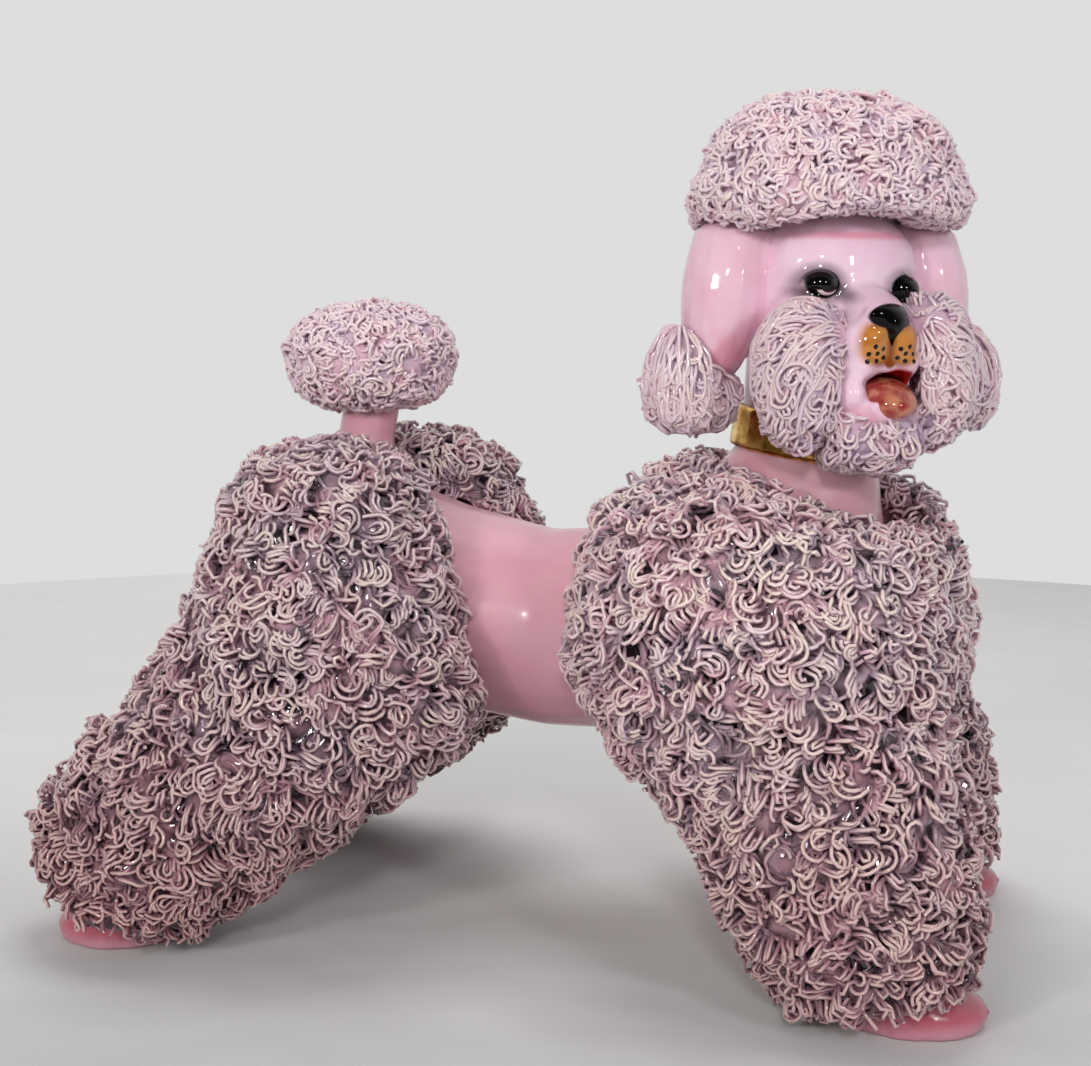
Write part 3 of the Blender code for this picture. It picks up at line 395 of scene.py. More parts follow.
def makeHeadGlaze():
    # Airbrushed and brushed underglaze colours beneath one glassy coat
    look = headPaint
    material, tree = newMaterial("paintedFaceGlaze")
    x, y, z, across, lidUp = headPlaces(tree)

    def brushed(key, aside, up, value, low, high, most=1.0):
        # Share of one ellipse of paint, that also grows from low to high along the value
        middle, halfWidths, full, gone = look[key]
        distance = fromMiddle(tree, aside, up, middle, halfWidths)
        limit = addNode(tree, "ShaderNodeMapRange", smooth, (value, low, high, 0.0, most))
        return addNode(tree, "ShaderNodeMapRange", smooth, (distance, gone, full, 0.0, limit))

    mottle = patches(tree, look["mottleMm"])
    colour = laidOver(tree, look["pink"], look["pale"], mottle, 0.35, 0.7, look["paleShare"])
    # Rosy blush across the crease of the brow and beside the chin
    for key in ("crease", "chin"):
        blush = brushed(key, across, z, x, *look["front"], look[key + "Share"])
        colour = addNode(tree, "ShaderNodeMix", inColour, (blush, colour, look["blush"]))
    # Airbrushed shading round the eyes, then the black rims
    shade = 0.0
    for key, most in (("innerLid", "lidShare"), ("outerLid", "lidShare"), ("upperLid", "upperLidShare")):
        lid = brushed(key, across, lidUp, x, *look["front"], look[most])
        shade = addNode(tree, "ShaderNodeMath", larger, (shade, lid))
    colour = addNode(tree, "ShaderNodeMix", inColour, (shade, colour, look["shade"]))
    rim = brushed("rim", across, lidUp, x, *look["front"])
    colour = addNode(tree, "ShaderNodeMix", inColour, (rim, colour, look["black"]))
    # Tan pads, brown in the groove between them and round their lower edges, with a few faint spots
    groove = addNode(tree, "ShaderNodeMapRange", smooth, (across, *look["groove"], 0.0, look["brownShare"]))
    hem = brushed("padHem", across, z, across, *look["hemSides"], look["brownShare"])
    spots = patches(tree, look["spotMm"])
    spots = addNode(tree, "ShaderNodeMapRange", smooth, (spots, 0.5, 0.72, 0.0, look["spotShare"]))
    brown = addNode(tree, "ShaderNodeMath", larger, (groove, hem))
    brown = addNode(tree, "ShaderNodeMath", larger, (brown, spots))
    padColour = addNode(tree, "ShaderNodeMix", inColour, (brown, look["tan"], look["brown"]))
    pad = addNode(tree, "ShaderNodeMath", larger, [
        brushed(key, across, z, x, *look["muzzle"]) for key in ("padSide", "padFoot")])
    colour = addNode(tree, "ShaderNodeMix", inColour, (pad, colour, padColour))
    # Black nose that tapers down the groove
    nose = brushed("nose", across, z, x, *look["noseFront"])
    taper = addNode(tree, "ShaderNodeMapRange", None, (z, *look["pointTaper"]))
    taper = addNode(tree, "ShaderNodeMath", {"operation": "POWER"}, (taper, look["pointPower"]))
    halfWidth = addNode(tree, "ShaderNodeMath", times, (taper, look["pointHalf"]))
    beside = addNode(tree, "ShaderNodeMath", {"operation": "SUBTRACT"}, (across, halfWidth))
    point = addNode(tree, "ShaderNodeMapRange", smooth, (x, *look["noseFront"]))
    for value, key in ((z, "pointFoot"), (z, "pointTop"), (beside, "pointEdge")):
        point = addNode(tree, "ShaderNodeMapRange", smooth, (value, *look[key], 0.0, point))
    black = addNode(tree, "ShaderNodeMath", larger, (nose, point))
    colour = addNode(tree, "ShaderNodeMix", inColour, (black, colour, look["black"]))
    painted = addNode(tree, "ShaderNodeMath", larger, (black, rim))
    shine = addNode(tree, "ShaderNodeMath", {"operation": "MULTIPLY_ADD"}, (
        painted, look["dulled"], look["mirror"]))
    # Dark red inside the mouth
    inside = brushed("inside", y, z, x, *look["throat"])
    colour = laidOver(tree, colour, look["mouth"], x, *look["lips"], inside)
    setShader(tree, {
        "Base Color": colour, "Specular IOR Level": shine, "Roughness": look["roughness"], "IOR": 1.5,
        "Coat Weight": 0.1, "Coat Roughness": 0.03}, look["skinMm"], 0.02, 0.4)
    return material


headMaterial = makeHeadGlaze()
headCutters = [mouthCutter(), frontCutter()]
headMesh = softened("headCasting", headBlank(), headShape["cell"], headShape["rounds"], headCutters)
seatPiece("headCasting", headMesh, headMaterial, ["head_casting"])
print("head made:", len(headMesh.polygons), "faces")

tongue = {
    "centre": (29.0, 1.9, -24.2), "widths": (18.5, 12.6, 8.8), "lean": 14,
    "red": "93302A", "pale": "C07C60", "strokeMm": 3.0, "skinMm": 1.2, "roughness": 0.08,
}
# Small dots of black glaze on the pads, across and up
whiskers = {
    "radius": 0.55, "flatness": 0.35, "before": 50.0,
    "dots": [(4.1, -12.9), (1.9, -13.4), (5.4, -14.5), (3.3, -14.4), (1.6, -15.3), (3.4, -16.0),
             (5.6, -16.1)],
}


def makeEyeGlaze():
    look = eyes
    material, tree = newMaterial("blackEyeGlaze")
    x, y, z, across, lidUp = headPlaces(tree)
    ring = fromMiddle(tree, across, lidUp, *look["crescent"])
    crescent = addNode(tree, "ShaderNodeMapRange", smooth, (lidUp, *look["crescentTop"]))
    crescent = addNode(tree, "ShaderNodeMapRange", smooth, (ring, *look["crescentInner"], 0.0, crescent))
    mottle = patches(tree, look["lidMm"])
    lid = addNode(tree, "ShaderNodeMix", inColour, (mottle, look["lid"], look["lidPale"]))
    colour = laidOver(tree, look["black"], lid, ring, *look["crescentOuter"], crescent)
    setInputs(tree, tree.nodes["Principled BSDF"], {
        "Base Color": colour, "Roughness": look["roughness"], "IOR": 1.5})
    return material


def makeTongueGlaze():
    # Brushed orange-red underglaze, in paler and darker strokes
    look = tongue
    material, tree = newMaterial("tongueGlaze")
    strokes = patches(tree, look["strokeMm"], 3)
    colour = laidOver(tree, look["red"], look["pale"], strokes, 0.35, 0.68)
    setShader(tree, {
        "Base Color": colour, "Roughness": look["roughness"], "IOR": 1.5, "Coat Weight": 0.5,
        "Coat Roughness": 0.03}, look["skinMm"], 0.03, 0.5)
    return material


def eyeDomes():
    work = bmesh.new()
    for side in (-1, 1):
        centre = (eyes["out"], side * eyes["across"], eyes["up"][side])
        turn = side * math.radians(eyes["turn"])
        addEllipsoid(work, centre, eyes["widths"], turn, 0.0, eyes["segments"], eyes["rings"])
    return work


def whiskerDots():
    # Each dot is a low raised drop, seated on the muzzle's skin
    skin = skinOf(headMesh)
    radius = whiskers["radius"] * mm
    work = bmesh.new()
    for side in (-1, 1):
        for y, z in whiskers["dots"]:
            start = headFrame @ Vector((whiskers["before"], side * y, z))
            hit, normal = skin.ray_cast(start, intoFace)[:2]
            turn = normal.to_track_quat("Z", "Y").to_matrix()
            place = Matrix.LocRotScale(hit, turn, Vector((radius, radius, whiskers["flatness"] * radius)))
            bmesh.ops.create_uvsphere(work, u_segments=14, v_segments=8, radius=1.0, matrix=place)
    return work


def tongueForm():
    work = bmesh.new()
    addEllipsoid(work, tongue["centre"], tongue["widths"], 0.0, math.radians(tongue["lean"]), 40, 24)
    return work


eyeMaterial = makeEyeGlaze()
seatPiece("eyeDomes", roundMesh("eyeDomes", eyeDomes()), eyeMaterial)
seatPiece("whiskerDots", roundMesh("whiskerDots", whiskerDots()), eyeMaterial)
seatPiece("tongue", roundMesh("tongue", tongueForm()), makeTongueGlaze())
print("eyes, whisker dots and tongue made")

# Ear flaps: smooth, with a rosy blush at the lower end
earPaint = {"pink": "EAC1D2", "blush": "DC8398", "roughness": 0.08, "mottleMm": 9, "skinMm": 2.0,
            "blushHeights": (0.158, 0.140), "blushShare": 0.7, "leastBlush": 0.18, "cell": 0.7, "rounds": 7}
# The ridge along the seam, in mm: its radius, how deep it sits, its ends, and how its seam is searched for
earRidge = {"radius": 2.0, "sunk": 1.1, "top": 15.5, "bottom": -15.5, "step": 1.0,
            "before": 60.0, "from": 13.0, "across": 0.3, "tries": 60}


def makeEarGlaze():
    look = earPaint
    material, tree = newMaterial("earGlaze")
    place = addNode(tree, "ShaderNodeTexCoord", output="Object")
    height = addNode(tree, "ShaderNodeSeparateXYZ", None, (place,), "Z")
    high, low = look["blushHeights"]
    below = addNode(tree, "ShaderNodeMapRange", smooth, (height, high, low, 0.0, look["blushShare"]))
    most = addNode(tree, "ShaderNodeMath", larger, (below, look["leastBlush"]))
    mottle = patches(tree, look["mottleMm"])
    colour = laidOver(tree, look["pink"], look["blush"], mottle, 0.4, 0.66, most)
    setShader(tree, {
        "Base Color": colour, "Roughness": look["roughness"], "IOR": 1.5, "Coat Weight": 0.4,
        "Coat Roughness": 0.03}, look["skinMm"], 0.025, 0.4)
    return material


def flapWithRidge(word, side):
    # Beads fill the seam between flap and cheek, as seen from the front, and melt into one ridge of glaze
    ridge = earRidge
    work = mergedCopy("ear_flap_" + word)
    cheek, flap = [skinOf(nodes[name].data) for name in ("head_casting", "ear_flap_" + word)]
    z = ridge["top"]
    while z > ridge["bottom"]:
        for k in range(ridge["tries"]):
            y = ridge["from"] + ridge["across"] * k
            start = headFrame @ Vector((ridge["before"], side * y, z))
            near, far = flap.ray_cast(start, intoFace)[3], cheek.ray_cast(start, intoFace)[3]
            if near and (far is None or near < far + 1.0 * mm):
                # Thinner towards the lower end
                share = (z - ridge["bottom"]) / (ridge["top"] - ridge["bottom"])
                width = 2 * ridge["radius"] * (0.65 + 0.35 * share)
                centre = (ridge["before"] - near / mm - ridge["sunk"], side * (y - ridge["across"]), z)
                addEllipsoid(work, centre, (width, width, width), 0.0, 0.0, 12, 8)
                break
        z -= ridge["step"]
    return work


earMaterial = makeEarGlaze()
for side, word in ((-1, "right"), (1, "left")):
    name = "earFlap" + word.title()
    mesh = softened(name, flapWithRidge(word, side), earPaint["cell"], earPaint["rounds"])
    seatPiece(name, mesh, earMaterial, ["ear_flap_" + word])
print("ear flaps made")


# Strands

# What the glaze of all strands shares: where it changes its tint, and its ripple
strandSkin = {"flowRange": (0.4, 0.62), "skinMm": 1.0, "skinDepthMm": 0.12, "skinStrength": 0.8}


def makeStrandGlaze(name, look):
    # Extruded clay strands under a runny glaze: it leaves the crests pale and pools coloured between them.
    # Painted shade darkens the recesses; towards the feet the colour turns darker and browner, partly as
    # painted shade and partly as glaze pooled there
    material, tree = newMaterial(name)
    lift = addNode(tree, "ShaderNodeAttribute", {"attribute_name": "lift"}, output="Fac")
    tint = addNode(tree, "ShaderNodeAttribute", {"attribute_name": "tint"}, output="Fac")
    outward = addNode(tree, "ShaderNodeAttribute", {"attribute_name": "outward"}, output="Vector")
    place = addNode(tree, "ShaderNodeTexCoord").node.outputs
    crest = addNode(tree, "ShaderNodeVectorMath", {"operation": "DOT_PRODUCT"}, (outward, place["Normal"]))
    height = addNode(tree, "ShaderNodeSeparateXYZ", None, (place["Object"],), "Z")
    # Towards the feet: partly painted shade, partly browner glaze pooled there
    towardsFoot = (height, look["footMm"] * mm, 0.0, look["footShare"])
    clay = addNode(tree, "ShaderNodeMix", inColour, (tint, look["crestCool"], look["crestWarm"]))
    clay = laidOver(tree, clay, look["foot"], *towardsFoot)
    flow = patches(tree, look["patchMm"], 3)
    glaze = laidOver(tree, look["glaze"], look["glazeAlt"], flow, *strandSkin["flowRange"])
    glaze = laidOver(tree, glaze, look["footGlaze"], *towardsFoot)
    raised = addNode(tree, "ShaderNodeMapRange", smooth, (lift, *look["bareRange"]))
    colour = laidOver(tree, glaze, clay, crest, *look["crestRange"], raised)
    # Painted shade: the lowest strands and the bed between them turn dark
    colour = laidOver(tree, look["deep"], colour, lift, *look["deepRange"])
    setShader(tree, {
        "Base Color": colour, "Roughness": look["roughness"], "IOR": 1.5, "Coat Weight": look["coat"],
        "Coat Roughness": 0.03}, strandSkin["skinMm"], strandSkin["skinDepthMm"], strandSkin["skinStrength"])
    return material


def strandTree():
    # Sweeps a round section along every loose polyline and leaves the bed's faces as they are
    tree = bpy.data.node_groups.new("strandSweep", "GeometryNodeTree")
    face = tree.interface
    face.new_socket("Geometry", in_out="OUTPUT", socket_type="NodeSocketGeometry")
    for name, kind in (("Geometry", "Geometry"), ("Strand diameter", "Float"), ("Section sides", "Int"),
                       ("Girth change", "Float"), ("Seed", "Int"), ("Glaze", "Material")):
        face.new_socket(name, in_out="INPUT", socket_type="NodeSocket" + kind)
    into = addNode(tree, "NodeGroupInput").node.outputs
    girth = addNode(tree, "GeometryNodeInputNamedAttribute", {"data_type": "FLOAT"}, {"Name": "girth"})
    loose = addNode(tree, "FunctionNodeCompare", {"data_type": "FLOAT", "operation": "GREATER_THAN"}, {
        "A": girth, "B": 0.01})
    parts = addNode(tree, "GeometryNodeSeparateGeometry", {"domain": "POINT"}, {
        "Geometry": into["Geometry"], "Selection": loose}).node.outputs
    lines = addNode(tree, "GeometryNodeMeshToCurve", None, {"Mesh": parts["Selection"]})
    least = addNode(tree, "ShaderNodeMath", {"operation": "SUBTRACT"}, (1.0, into["Girth change"]))
    spline = addNode(tree, "GeometryNodeSplineParameter", output="Index")
    swell = addNode(tree, "FunctionNodeRandomValue", {"data_type": "FLOAT"}, {
        "Min": least, "ID": spline, "Seed": into["Seed"]})
    width = addNode(tree, "ShaderNodeMath", times, (girth, swell))
    sized = addNode(tree, "GeometryNodeSetCurveRadius", None, {"Curve": lines, "Radius": width})
    radius = addNode(tree, "ShaderNodeMath", times, (into["Strand diameter"], 0.5))
    ring = addNode(tree, "GeometryNodeCurvePrimitiveCircle", None, {
        "Resolution": into["Section sides"], "Radius": radius})
    swept = addNode(tree, "GeometryNodeCurveToMesh", None, {
        "Curve": sized, "Profile Curve": ring, "Fill Caps": True})
    joined = addNode(tree, "GeometryNodeJoinGeometry")
    for part in (parts["Inverted"], swept):
        tree.links.new(part, joined.node.inputs["Geometry"])
    smoothed = addNode(tree, "GeometryNodeSetShadeSmooth", None, {"Geometry": joined})
    real = addNode(tree, "GeometryNodeRealizeInstances", None, {"Geometry": smoothed})
    done = addNode(tree, "GeometryNodeSetMaterial", None, {"Geometry": real, "Material": into["Glaze"]})
    addNode(tree, "NodeGroupOutput", None, {"Geometry": done})
    return tree


sweep = strandTree()

stepMm = 1.15  # of a combed strand
endGirth = 0.6  # a strand's ends against its middle
hairGap = 1.6 * mm  # nearer than this, a neighbour covers the ground
leastArea = 1e-9  # of a face with room for a root, in square metres
pieceLimit = 180000  # about this many triangles go into one piece
rayStart = {"over": 0.05, "under": 0.02}  # mm off the surface, so that a ray doesn't meet its own start
skinRounds = 3  # of melting, for the skins that carry strands
bedDepth = 0.35  # the bed's greatest depth, as a share of the solid's thickness
bedClearance = 1.2  # mm over the floor


def sweptPiece(name, bed, strands, look, material, replaced, seed):
    # Bed faces and strand polylines in one mesh, swept and kept as a plain mesh
    points, faces, lift = [list(part) for part in bed]
    count = len(points)
    tint, girth, outward, edges = [0.5] * count, [0.0] * count, [(0, 0, 0)] * count, []
    for path, heights, normals, shade in strands:
        first = len(points)
        count = len(path)
        points.extend(path)
        edges.extend((first + i, first + i + 1) for i in range(count - 1))
        lift.extend(heights)
        tint.extend([shade] * count)
        girth.extend([endGirth] + [1.0] * (count - 2) + [endGirth])
        outward.extend(normals)
    mesh = bpy.data.meshes.new(name + "Lines")
    mesh.from_pydata([tuple(p) for p in points], edges, faces)
    for attributeName, values in (("lift", lift), ("tint", tint), ("girth", girth)):
        attribute = mesh.attributes.new(attributeName, "FLOAT", "POINT")
        attribute.data.foreach_set("value", np.array(values, np.float32))
    attribute = mesh.attributes.new("outward", "FLOAT_VECTOR", "POINT")
    attribute.data.foreach_set("vector", np.array([tuple(v) for v in outward], np.float32).ravel())
    carrier = newObject(name + "Lines", mesh)
    modifier = addModifier(carrier, "NODES", node_group=sweep)
    settings = {"Strand diameter": look["diameter"] * mm, "Section sides": look["sides"],
                "Girth change": look["girthChange"], "Seed": seed, "Glaze": material}
    for item in sweep.interface.items_tree:
        if item.item_type == "SOCKET" and item.in_out == "INPUT" and item.name in settings:
            modifier[item.identifier] = settings[item.name]
    result = evaluatedMesh(carrier)
    result.name = name
    bpy.data.objects.remove(carrier)
    triangles = sum(len(p.vertices) - 2 for p in result.polygons)
    seatPiece(name, result, None, replaced)
    print(name, "made:", len(strands), "strands,", triangles, "triangles")
    return triangles


def worldSkin():
    points, faces = [], []
    for name in nodes:
        first = len(points)
        points.extend(v.co.copy() for v in nodes[name].data.vertices)
        faces.extend([first + i for i in p.vertices] for p in nodes[name].data.polygons)
    return BVHTree.FromPolygons(points, faces)


everySolid = worldSkin()


def openGround(nodeName):
    # The node's faces that look into the open, and not at a neighbour a hair away
    ground = []
    work = mergedCopy(nodeName)
    bmesh.ops.recalc_face_normals(work, faces=work.faces)
    for face in work.faces:
        middle = face.calc_center_median()
        hit = everySolid.ray_cast(middle + face.normal * rayStart["over"] * mm, face.normal, hairGap)[0]
        if hit is None and face.calc_area() > leastArea:
            ground.append([tuple(v.co) for v in face.verts])
    work.free()
    return ground


def ramp(value, low, high):
    # 0 up to low and 1 beyond high
    return min(1.0, max(0.0, (value - low) / (high - low)))


def drawIn(work, tuckIn, dip):
    # Moves the cheeks' inner edges towards the nose, by one length beside it and another beside the mouth,
    # and lowers their tops. Both are given for side -1, the dog's right, and side 1, its left
    backwards = headFrame.inverted()
    for v in work.verts:
        local = backwards @ v.co
        side = int(math.copysign(1, local.y))
        besideMouth = ramp(-local.z, 12.0, 18.0)
        inner = min(1.0, abs(local.y) / 6.0) * (1.0 - ramp(abs(local.y), 10.0, 24.0))
        local.y -= side * inner * (tuckIn[side][0] * (1 - besideMouth) + tuckIn[side][1] * besideMouth)
        local.z -= dip[side] * ramp(local.z, -12.0, -4.0)
        v.co = headFrame @ local


def joinedSkin(name, nodeNames, look):
    # One even skin over neighbouring solids, so that strands run across their seams
    work = mergedCopy(*nodeNames)
    if "tuckIn" in look:
        drawIn(work, look["tuckIn"], look["dip"])
    if "trim" in look:
        # Lifts the rim by the first length, less and less up to the second
        lifted, band = look["trim"]
        rim = min(v.co.z for v in work.verts)
        for v in work.verts:
            v.co.z += lifted * mm * max(0.0, 1.0 - (v.co.z - rim) / (band * mm))
    mesh = softened(name + "Skin", work, look["skinCell"], skinRounds)
    return mesh, skinOf(mesh)


def spreadRoots(ground, spacing, rng):
    # Random points over the ground, none closer than the spacing
    corners = np.array(ground)
    across = np.cross(corners[:, 1] - corners[:, 0], corners[:, 2] - corners[:, 0])
    areas = 0.5 * np.linalg.norm(across, axis=1)
    tries = int(14 * areas.sum() / spacing ** 2)
    chosen = rng.choice(len(areas), tries, p=areas / areas.sum())
    a, b = rng.random(tries), rng.random(tries)
    flip = a + b > 1
    a[flip], b[flip] = 1 - a[flip], 1 - b[flip]
    spots = (corners[chosen, 0] + a[:, None] * (corners[chosen, 1] - corners[chosen, 0])
             + b[:, None] * (corners[chosen, 2] - corners[chosen, 0]))
    kept, cells = [], {}
    for i in range(tries):
        key = tuple(np.floor(spots[i] / spacing).astype(int))
        near = [j for dx in (-1, 0, 1) for dy in (-1, 0, 1) for dz in (-1, 0, 1)
                for j in cells.get((key[0] + dx, key[1] + dy, key[2] + dz), [])]
        if all(np.linalg.norm(spots[i] - spots[j]) > spacing for j in near):
            cells.setdefault(key, []).append(i)
            kept.append(i)
    return [Vector(spots[i]) for i in kept]


def pooledBed(mesh, skin, look):
    # The skin drawn in and rippled, as the glaze pooled between the strands
    points, heights = [], []
    for v in mesh.vertices:
        coarse = noise.noise(v.co / (look["pool"] * mm))
        fine = noise.noise(v.co / (0.4 * look["pool"] * mm))
        height = look["bedLevel"] + look["bedSwing"] * (coarse + 0.5 * fine)
        room = skin.ray_cast(v.co - v.normal * rayStart["under"] * mm, -v.normal)[3] or 0.0
        height = -min(-height, bedDepth * room / mm)
        point = v.co + v.normal * height * mm
        # It ends at the hem, and clear of the floor
        point.z = max(point.z, hemHeight(point), bedClearance * mm)
        points.append(point)
        heights.append(height)
    return points, [tuple(p.vertices) for p in mesh.polygons], heights


def evenly(points, step):
    # The same line with steps of one length, and every second point left out where it is nearly straight
    points = np.array(points, float)
    lengths = np.concatenate([[0], np.cumsum(np.linalg.norm(np.diff(points, axis=0), axis=1))])
    count = max(4, int(round(lengths[-1] / step)) + 1)
    at = np.linspace(0, lengths[-1], count)
    line = np.stack([np.interp(at, lengths, points[:, k]) for k in (0, 1)], 1)
    kept = [0, 1]
    for i in range(2, count - 2):
        before, after = line[i] - line[kept[-1]], line[i + 1] - line[i]
        bend = abs(math.atan2(before[0] * after[1] - before[1] * after[0], before @ after))
        if bend > 0.2 or kept[-1] < i - 1:
            kept.append(i)
    return line[kept + [count - 2, count - 1]], np.array(kept + [count - 2, count - 1]) / (count - 1)


def marched(start, heading, length, turning):
    # A line whose heading turns by turning(share) for each millimetre
    point, line = np.array(start, float), [tuple(start)]
    count = max(6, int(length / 0.6))
    step = length / count
    for i in range(count):
        heading += turning(i / count) * length / count
        point = point + step * np.array([math.cos(heading), math.sin(heading)])
        line.append(tuple(point))
    return line


# Each kind of tuft is a few flat lines, in mm and radians, that are laid on the skin later

def nestTuft(rng, size):
    # A ribbon of strands that turns back on itself, one inside the other
    lines = []
    legs = rng.uniform(2.0, 6.0) * size
    inner = rng.uniform(0.5, 1.5) * size
    pitch = rng.uniform(1.0, 1.35)
    turn = rng.uniform(2.4, 3.9)
    side = rng.choice([-1, 1])
    for i in range(rng.integers(2, 4)):
        r = inner + i * pitch
        bend = 1 / r
        out = legs * rng.uniform(0.7, 1.2)
        total = out + turn * r + rng.uniform(0.1, 0.8) * legs
        share = (out / total, (out + turn * r) / total)
        lines.append(marched((legs - out, -side * r), rng.uniform(-0.16, 0.16), total,
                             lambda t: side * bend if share[0] < t < share[1] else side * 0.03))
    return lines


def fanTuft(rng, size):
    # A ribbon of strands that spreads, bends one way and hooks at its end
    lines = []
    count = rng.integers(3, 7)
    length = rng.uniform(5.5, 10.5) * size
    pitch = rng.uniform(0.95, 1.25)
    bend = rng.uniform(-0.2, 0.2) / size
    hook = rng.choice([-1, 1]) * rng.uniform(0.2, 1.0) / size
    spread = rng.uniform(0.0, 0.14)
    for i in range(count):
        s = i - (count - 1) / 2
        own = hook * rng.uniform(0.5, 1.3)
        lines.append(marched((rng.uniform(-1, 1), s * pitch * 0.85), s * spread + rng.uniform(-0.12, 0.12),
                             length * rng.uniform(0.7, 1.15), lambda t: bend + (own if t > 0.66 else 0.0)))
    return lines


def ringTuft(rng, size):
    # One to three open rings
    lines = []
    side = rng.choice([-1, 1])
    r = rng.uniform(1.0, 2.3) * size
    for i in range(rng.integers(1, 4)):
        own = r + i * rng.uniform(0.95, 1.4)
        start = rng.uniform(-0.3, 0.3)
        length = own * rng.uniform(3.4, 6.0)
        lines.append(marched((rng.uniform(-0.8, 0.8) - 0.5 * r, -side * own), start, length,
                             lambda t: side * (0.8 + 0.5 * t) / own))
    return lines


def squiggleTuft(rng, size):
    # Strands that wander to and fro
    lines = []
    for i in range(rng.integers(1, 4)):
        a, b = rng.uniform(0.3, 0.75, 2) / size
        p, q = rng.uniform(0, 6.3, 2)
        start = (rng.uniform(-1.5, 1.5), rng.uniform(-1.5, 1.5))
        heading = rng.uniform(-0.9, 0.9)
        lines.append(marched(start, heading, rng.uniform(6, 13) * size,
                             lambda t: a * math.sin(7 * t + p) + b * math.sin(15 * t + q)))
    return lines


def arcTuft(rng, size):
    # One to three long easy bends
    lines = []
    bend = rng.choice([-1, 1]) * rng.uniform(0.06, 0.26) / size
    for i in range(rng.integers(1, 4)):
        start = (rng.uniform(-1, 1), i * rng.uniform(1.0, 1.6))
        heading = rng.uniform(-0.2, 0.2)
        lines.append(marched(start, heading, rng.uniform(7, 13) * size, lambda t: bend * (1 + t)))
    return lines


# The coats end above the paws on slanting lines. For each: a place along the body, the line's height
# there, and how much it rises for each millimetre further forward
hems = {"front": (97.8, 8.0, 0.25), "hind": (-93.2, 11.5, -0.3)}


def hemHeight(point):
    place, height, slope = hems["front" if point.x > 0 else "hind"]
    return (height + (point.x / mm - place) * slope) * mm


tuftKinds = {"nest": nestTuft, "fan": fanTuft, "ring": ringTuft, "squiggle": squiggleTuft, "arc": arcTuft}
# Strands keep inside the solids' own box, and a little off the floor
shellLow = cadBox[0] + Vector((0.62, 0.62, 0.8)) * mm
shellHigh = cadBox[1] - Vector((0.62, 0.62, 0.62)) * mm


def laidStrand(flat, shares, root, normal, forward, skin, layer, rise, rng):
    # Puts a flat line on the skin: low at its root, over a crest and down again, under its neighbours
    aside = normal.cross(forward)
    phase, wave = rng.uniform(*layer.get("phase", (0.7, 1.4))), rng.uniform(0, 6.3)
    end, ragged = rng.uniform(*layer["endLift"]), rng.uniform(-1.5, 1.0)
    path, heights, normals = [], [], []
    for (u, v), t in zip(flat, shares):
        arch = min(1.0, 1.3 * math.sin(math.pi * t ** phase))
        floor = layer["rootLift"] if t < 0.5 else end
        height = floor + (rise - floor) * arch + layer["ripple"] * math.sin(wave + u * 1.1 + v * 0.7)
        point = root + (forward * u + aside * v) * mm
        spot, spotNormal = skin.find_nearest(point)[:2]
        placed = point + spotNormal * (height * mm - (point - spot).dot(spotNormal))
        # It ends where the skin turns away, or at the hem
        if spotNormal.dot(normal) < 0.2 or placed.z < hemHeight(placed) + ragged * mm:
            break
        path.append(Vector([min(max(placed[k], shellLow[k]), shellHigh[k]) for k in range(3)]))
        heights.append(height)
        normals.append(spotNormal)
    return path, heights, normals


def downhill(normal):
    # Along the skin towards the floor, or forward where the skin lies level
    heading = Vector((0, 0, -1)) - normal * -normal.z
    if heading.length < 0.2:
        heading = Vector((1, 0.3, 0)) - normal * normal.x
    return heading.normalized()


def lowerFaces(ground, share):
    # The faces whose middle lies in the lowest share of the ground's height
    middles = np.array(ground).mean(axis=1)[:, 2]
    limit = middles.min() + share * (middles.max() - middles.min())
    return [face for face, z in zip(ground, middles) if z <= limit]


def tuftLayer(ground, skin, layer, rng):
    ground = lowerFaces(ground, layer.get("lowest", 1.0))
    kinds = list(layer["kinds"])
    shares = np.array(list(layer["kinds"].values()))
    strands = []
    for spot in spreadRoots(ground, layer["spacing"] * mm, rng):
        root, normal = skin.find_nearest(spot)[:2]
        turn = Matrix.Rotation(math.radians(rng.normal() * layer["spreadDegrees"]), 3, normal)
        forward = turn @ downhill(normal)
        lines = tuftKinds[rng.choice(kinds, p=shares / shares.sum())](rng, layer["size"])
        back = rng.uniform(0.25, 0.6) * max(u for line in lines for u, v in line)
        rise, shade, tilt = rng.uniform(*layer["rise"]), rng.random(), rng.uniform(-0.4, 0.4)
        rise += layer["clump"] * noise.noise(root / (7 * mm))
        for i, line in enumerate(lines):
            flat, along = evenly(line, layer["step"])
            # A tuft leans: each strand lies a little higher or lower than the one before
            own = rise + tilt * (i - (len(lines) - 1) / 2) + rng.uniform(-0.3, 0.3)
            flat = flat - np.array([back, 0.0])
            laid = laidStrand(flat, along, root, normal, forward, skin, layer, own, rng)
            if len(laid[0]) > 2:
                strands.append(laid + (min(1.0, max(0.0, shade + rng.uniform(-0.2, 0.2))),))
    return strands


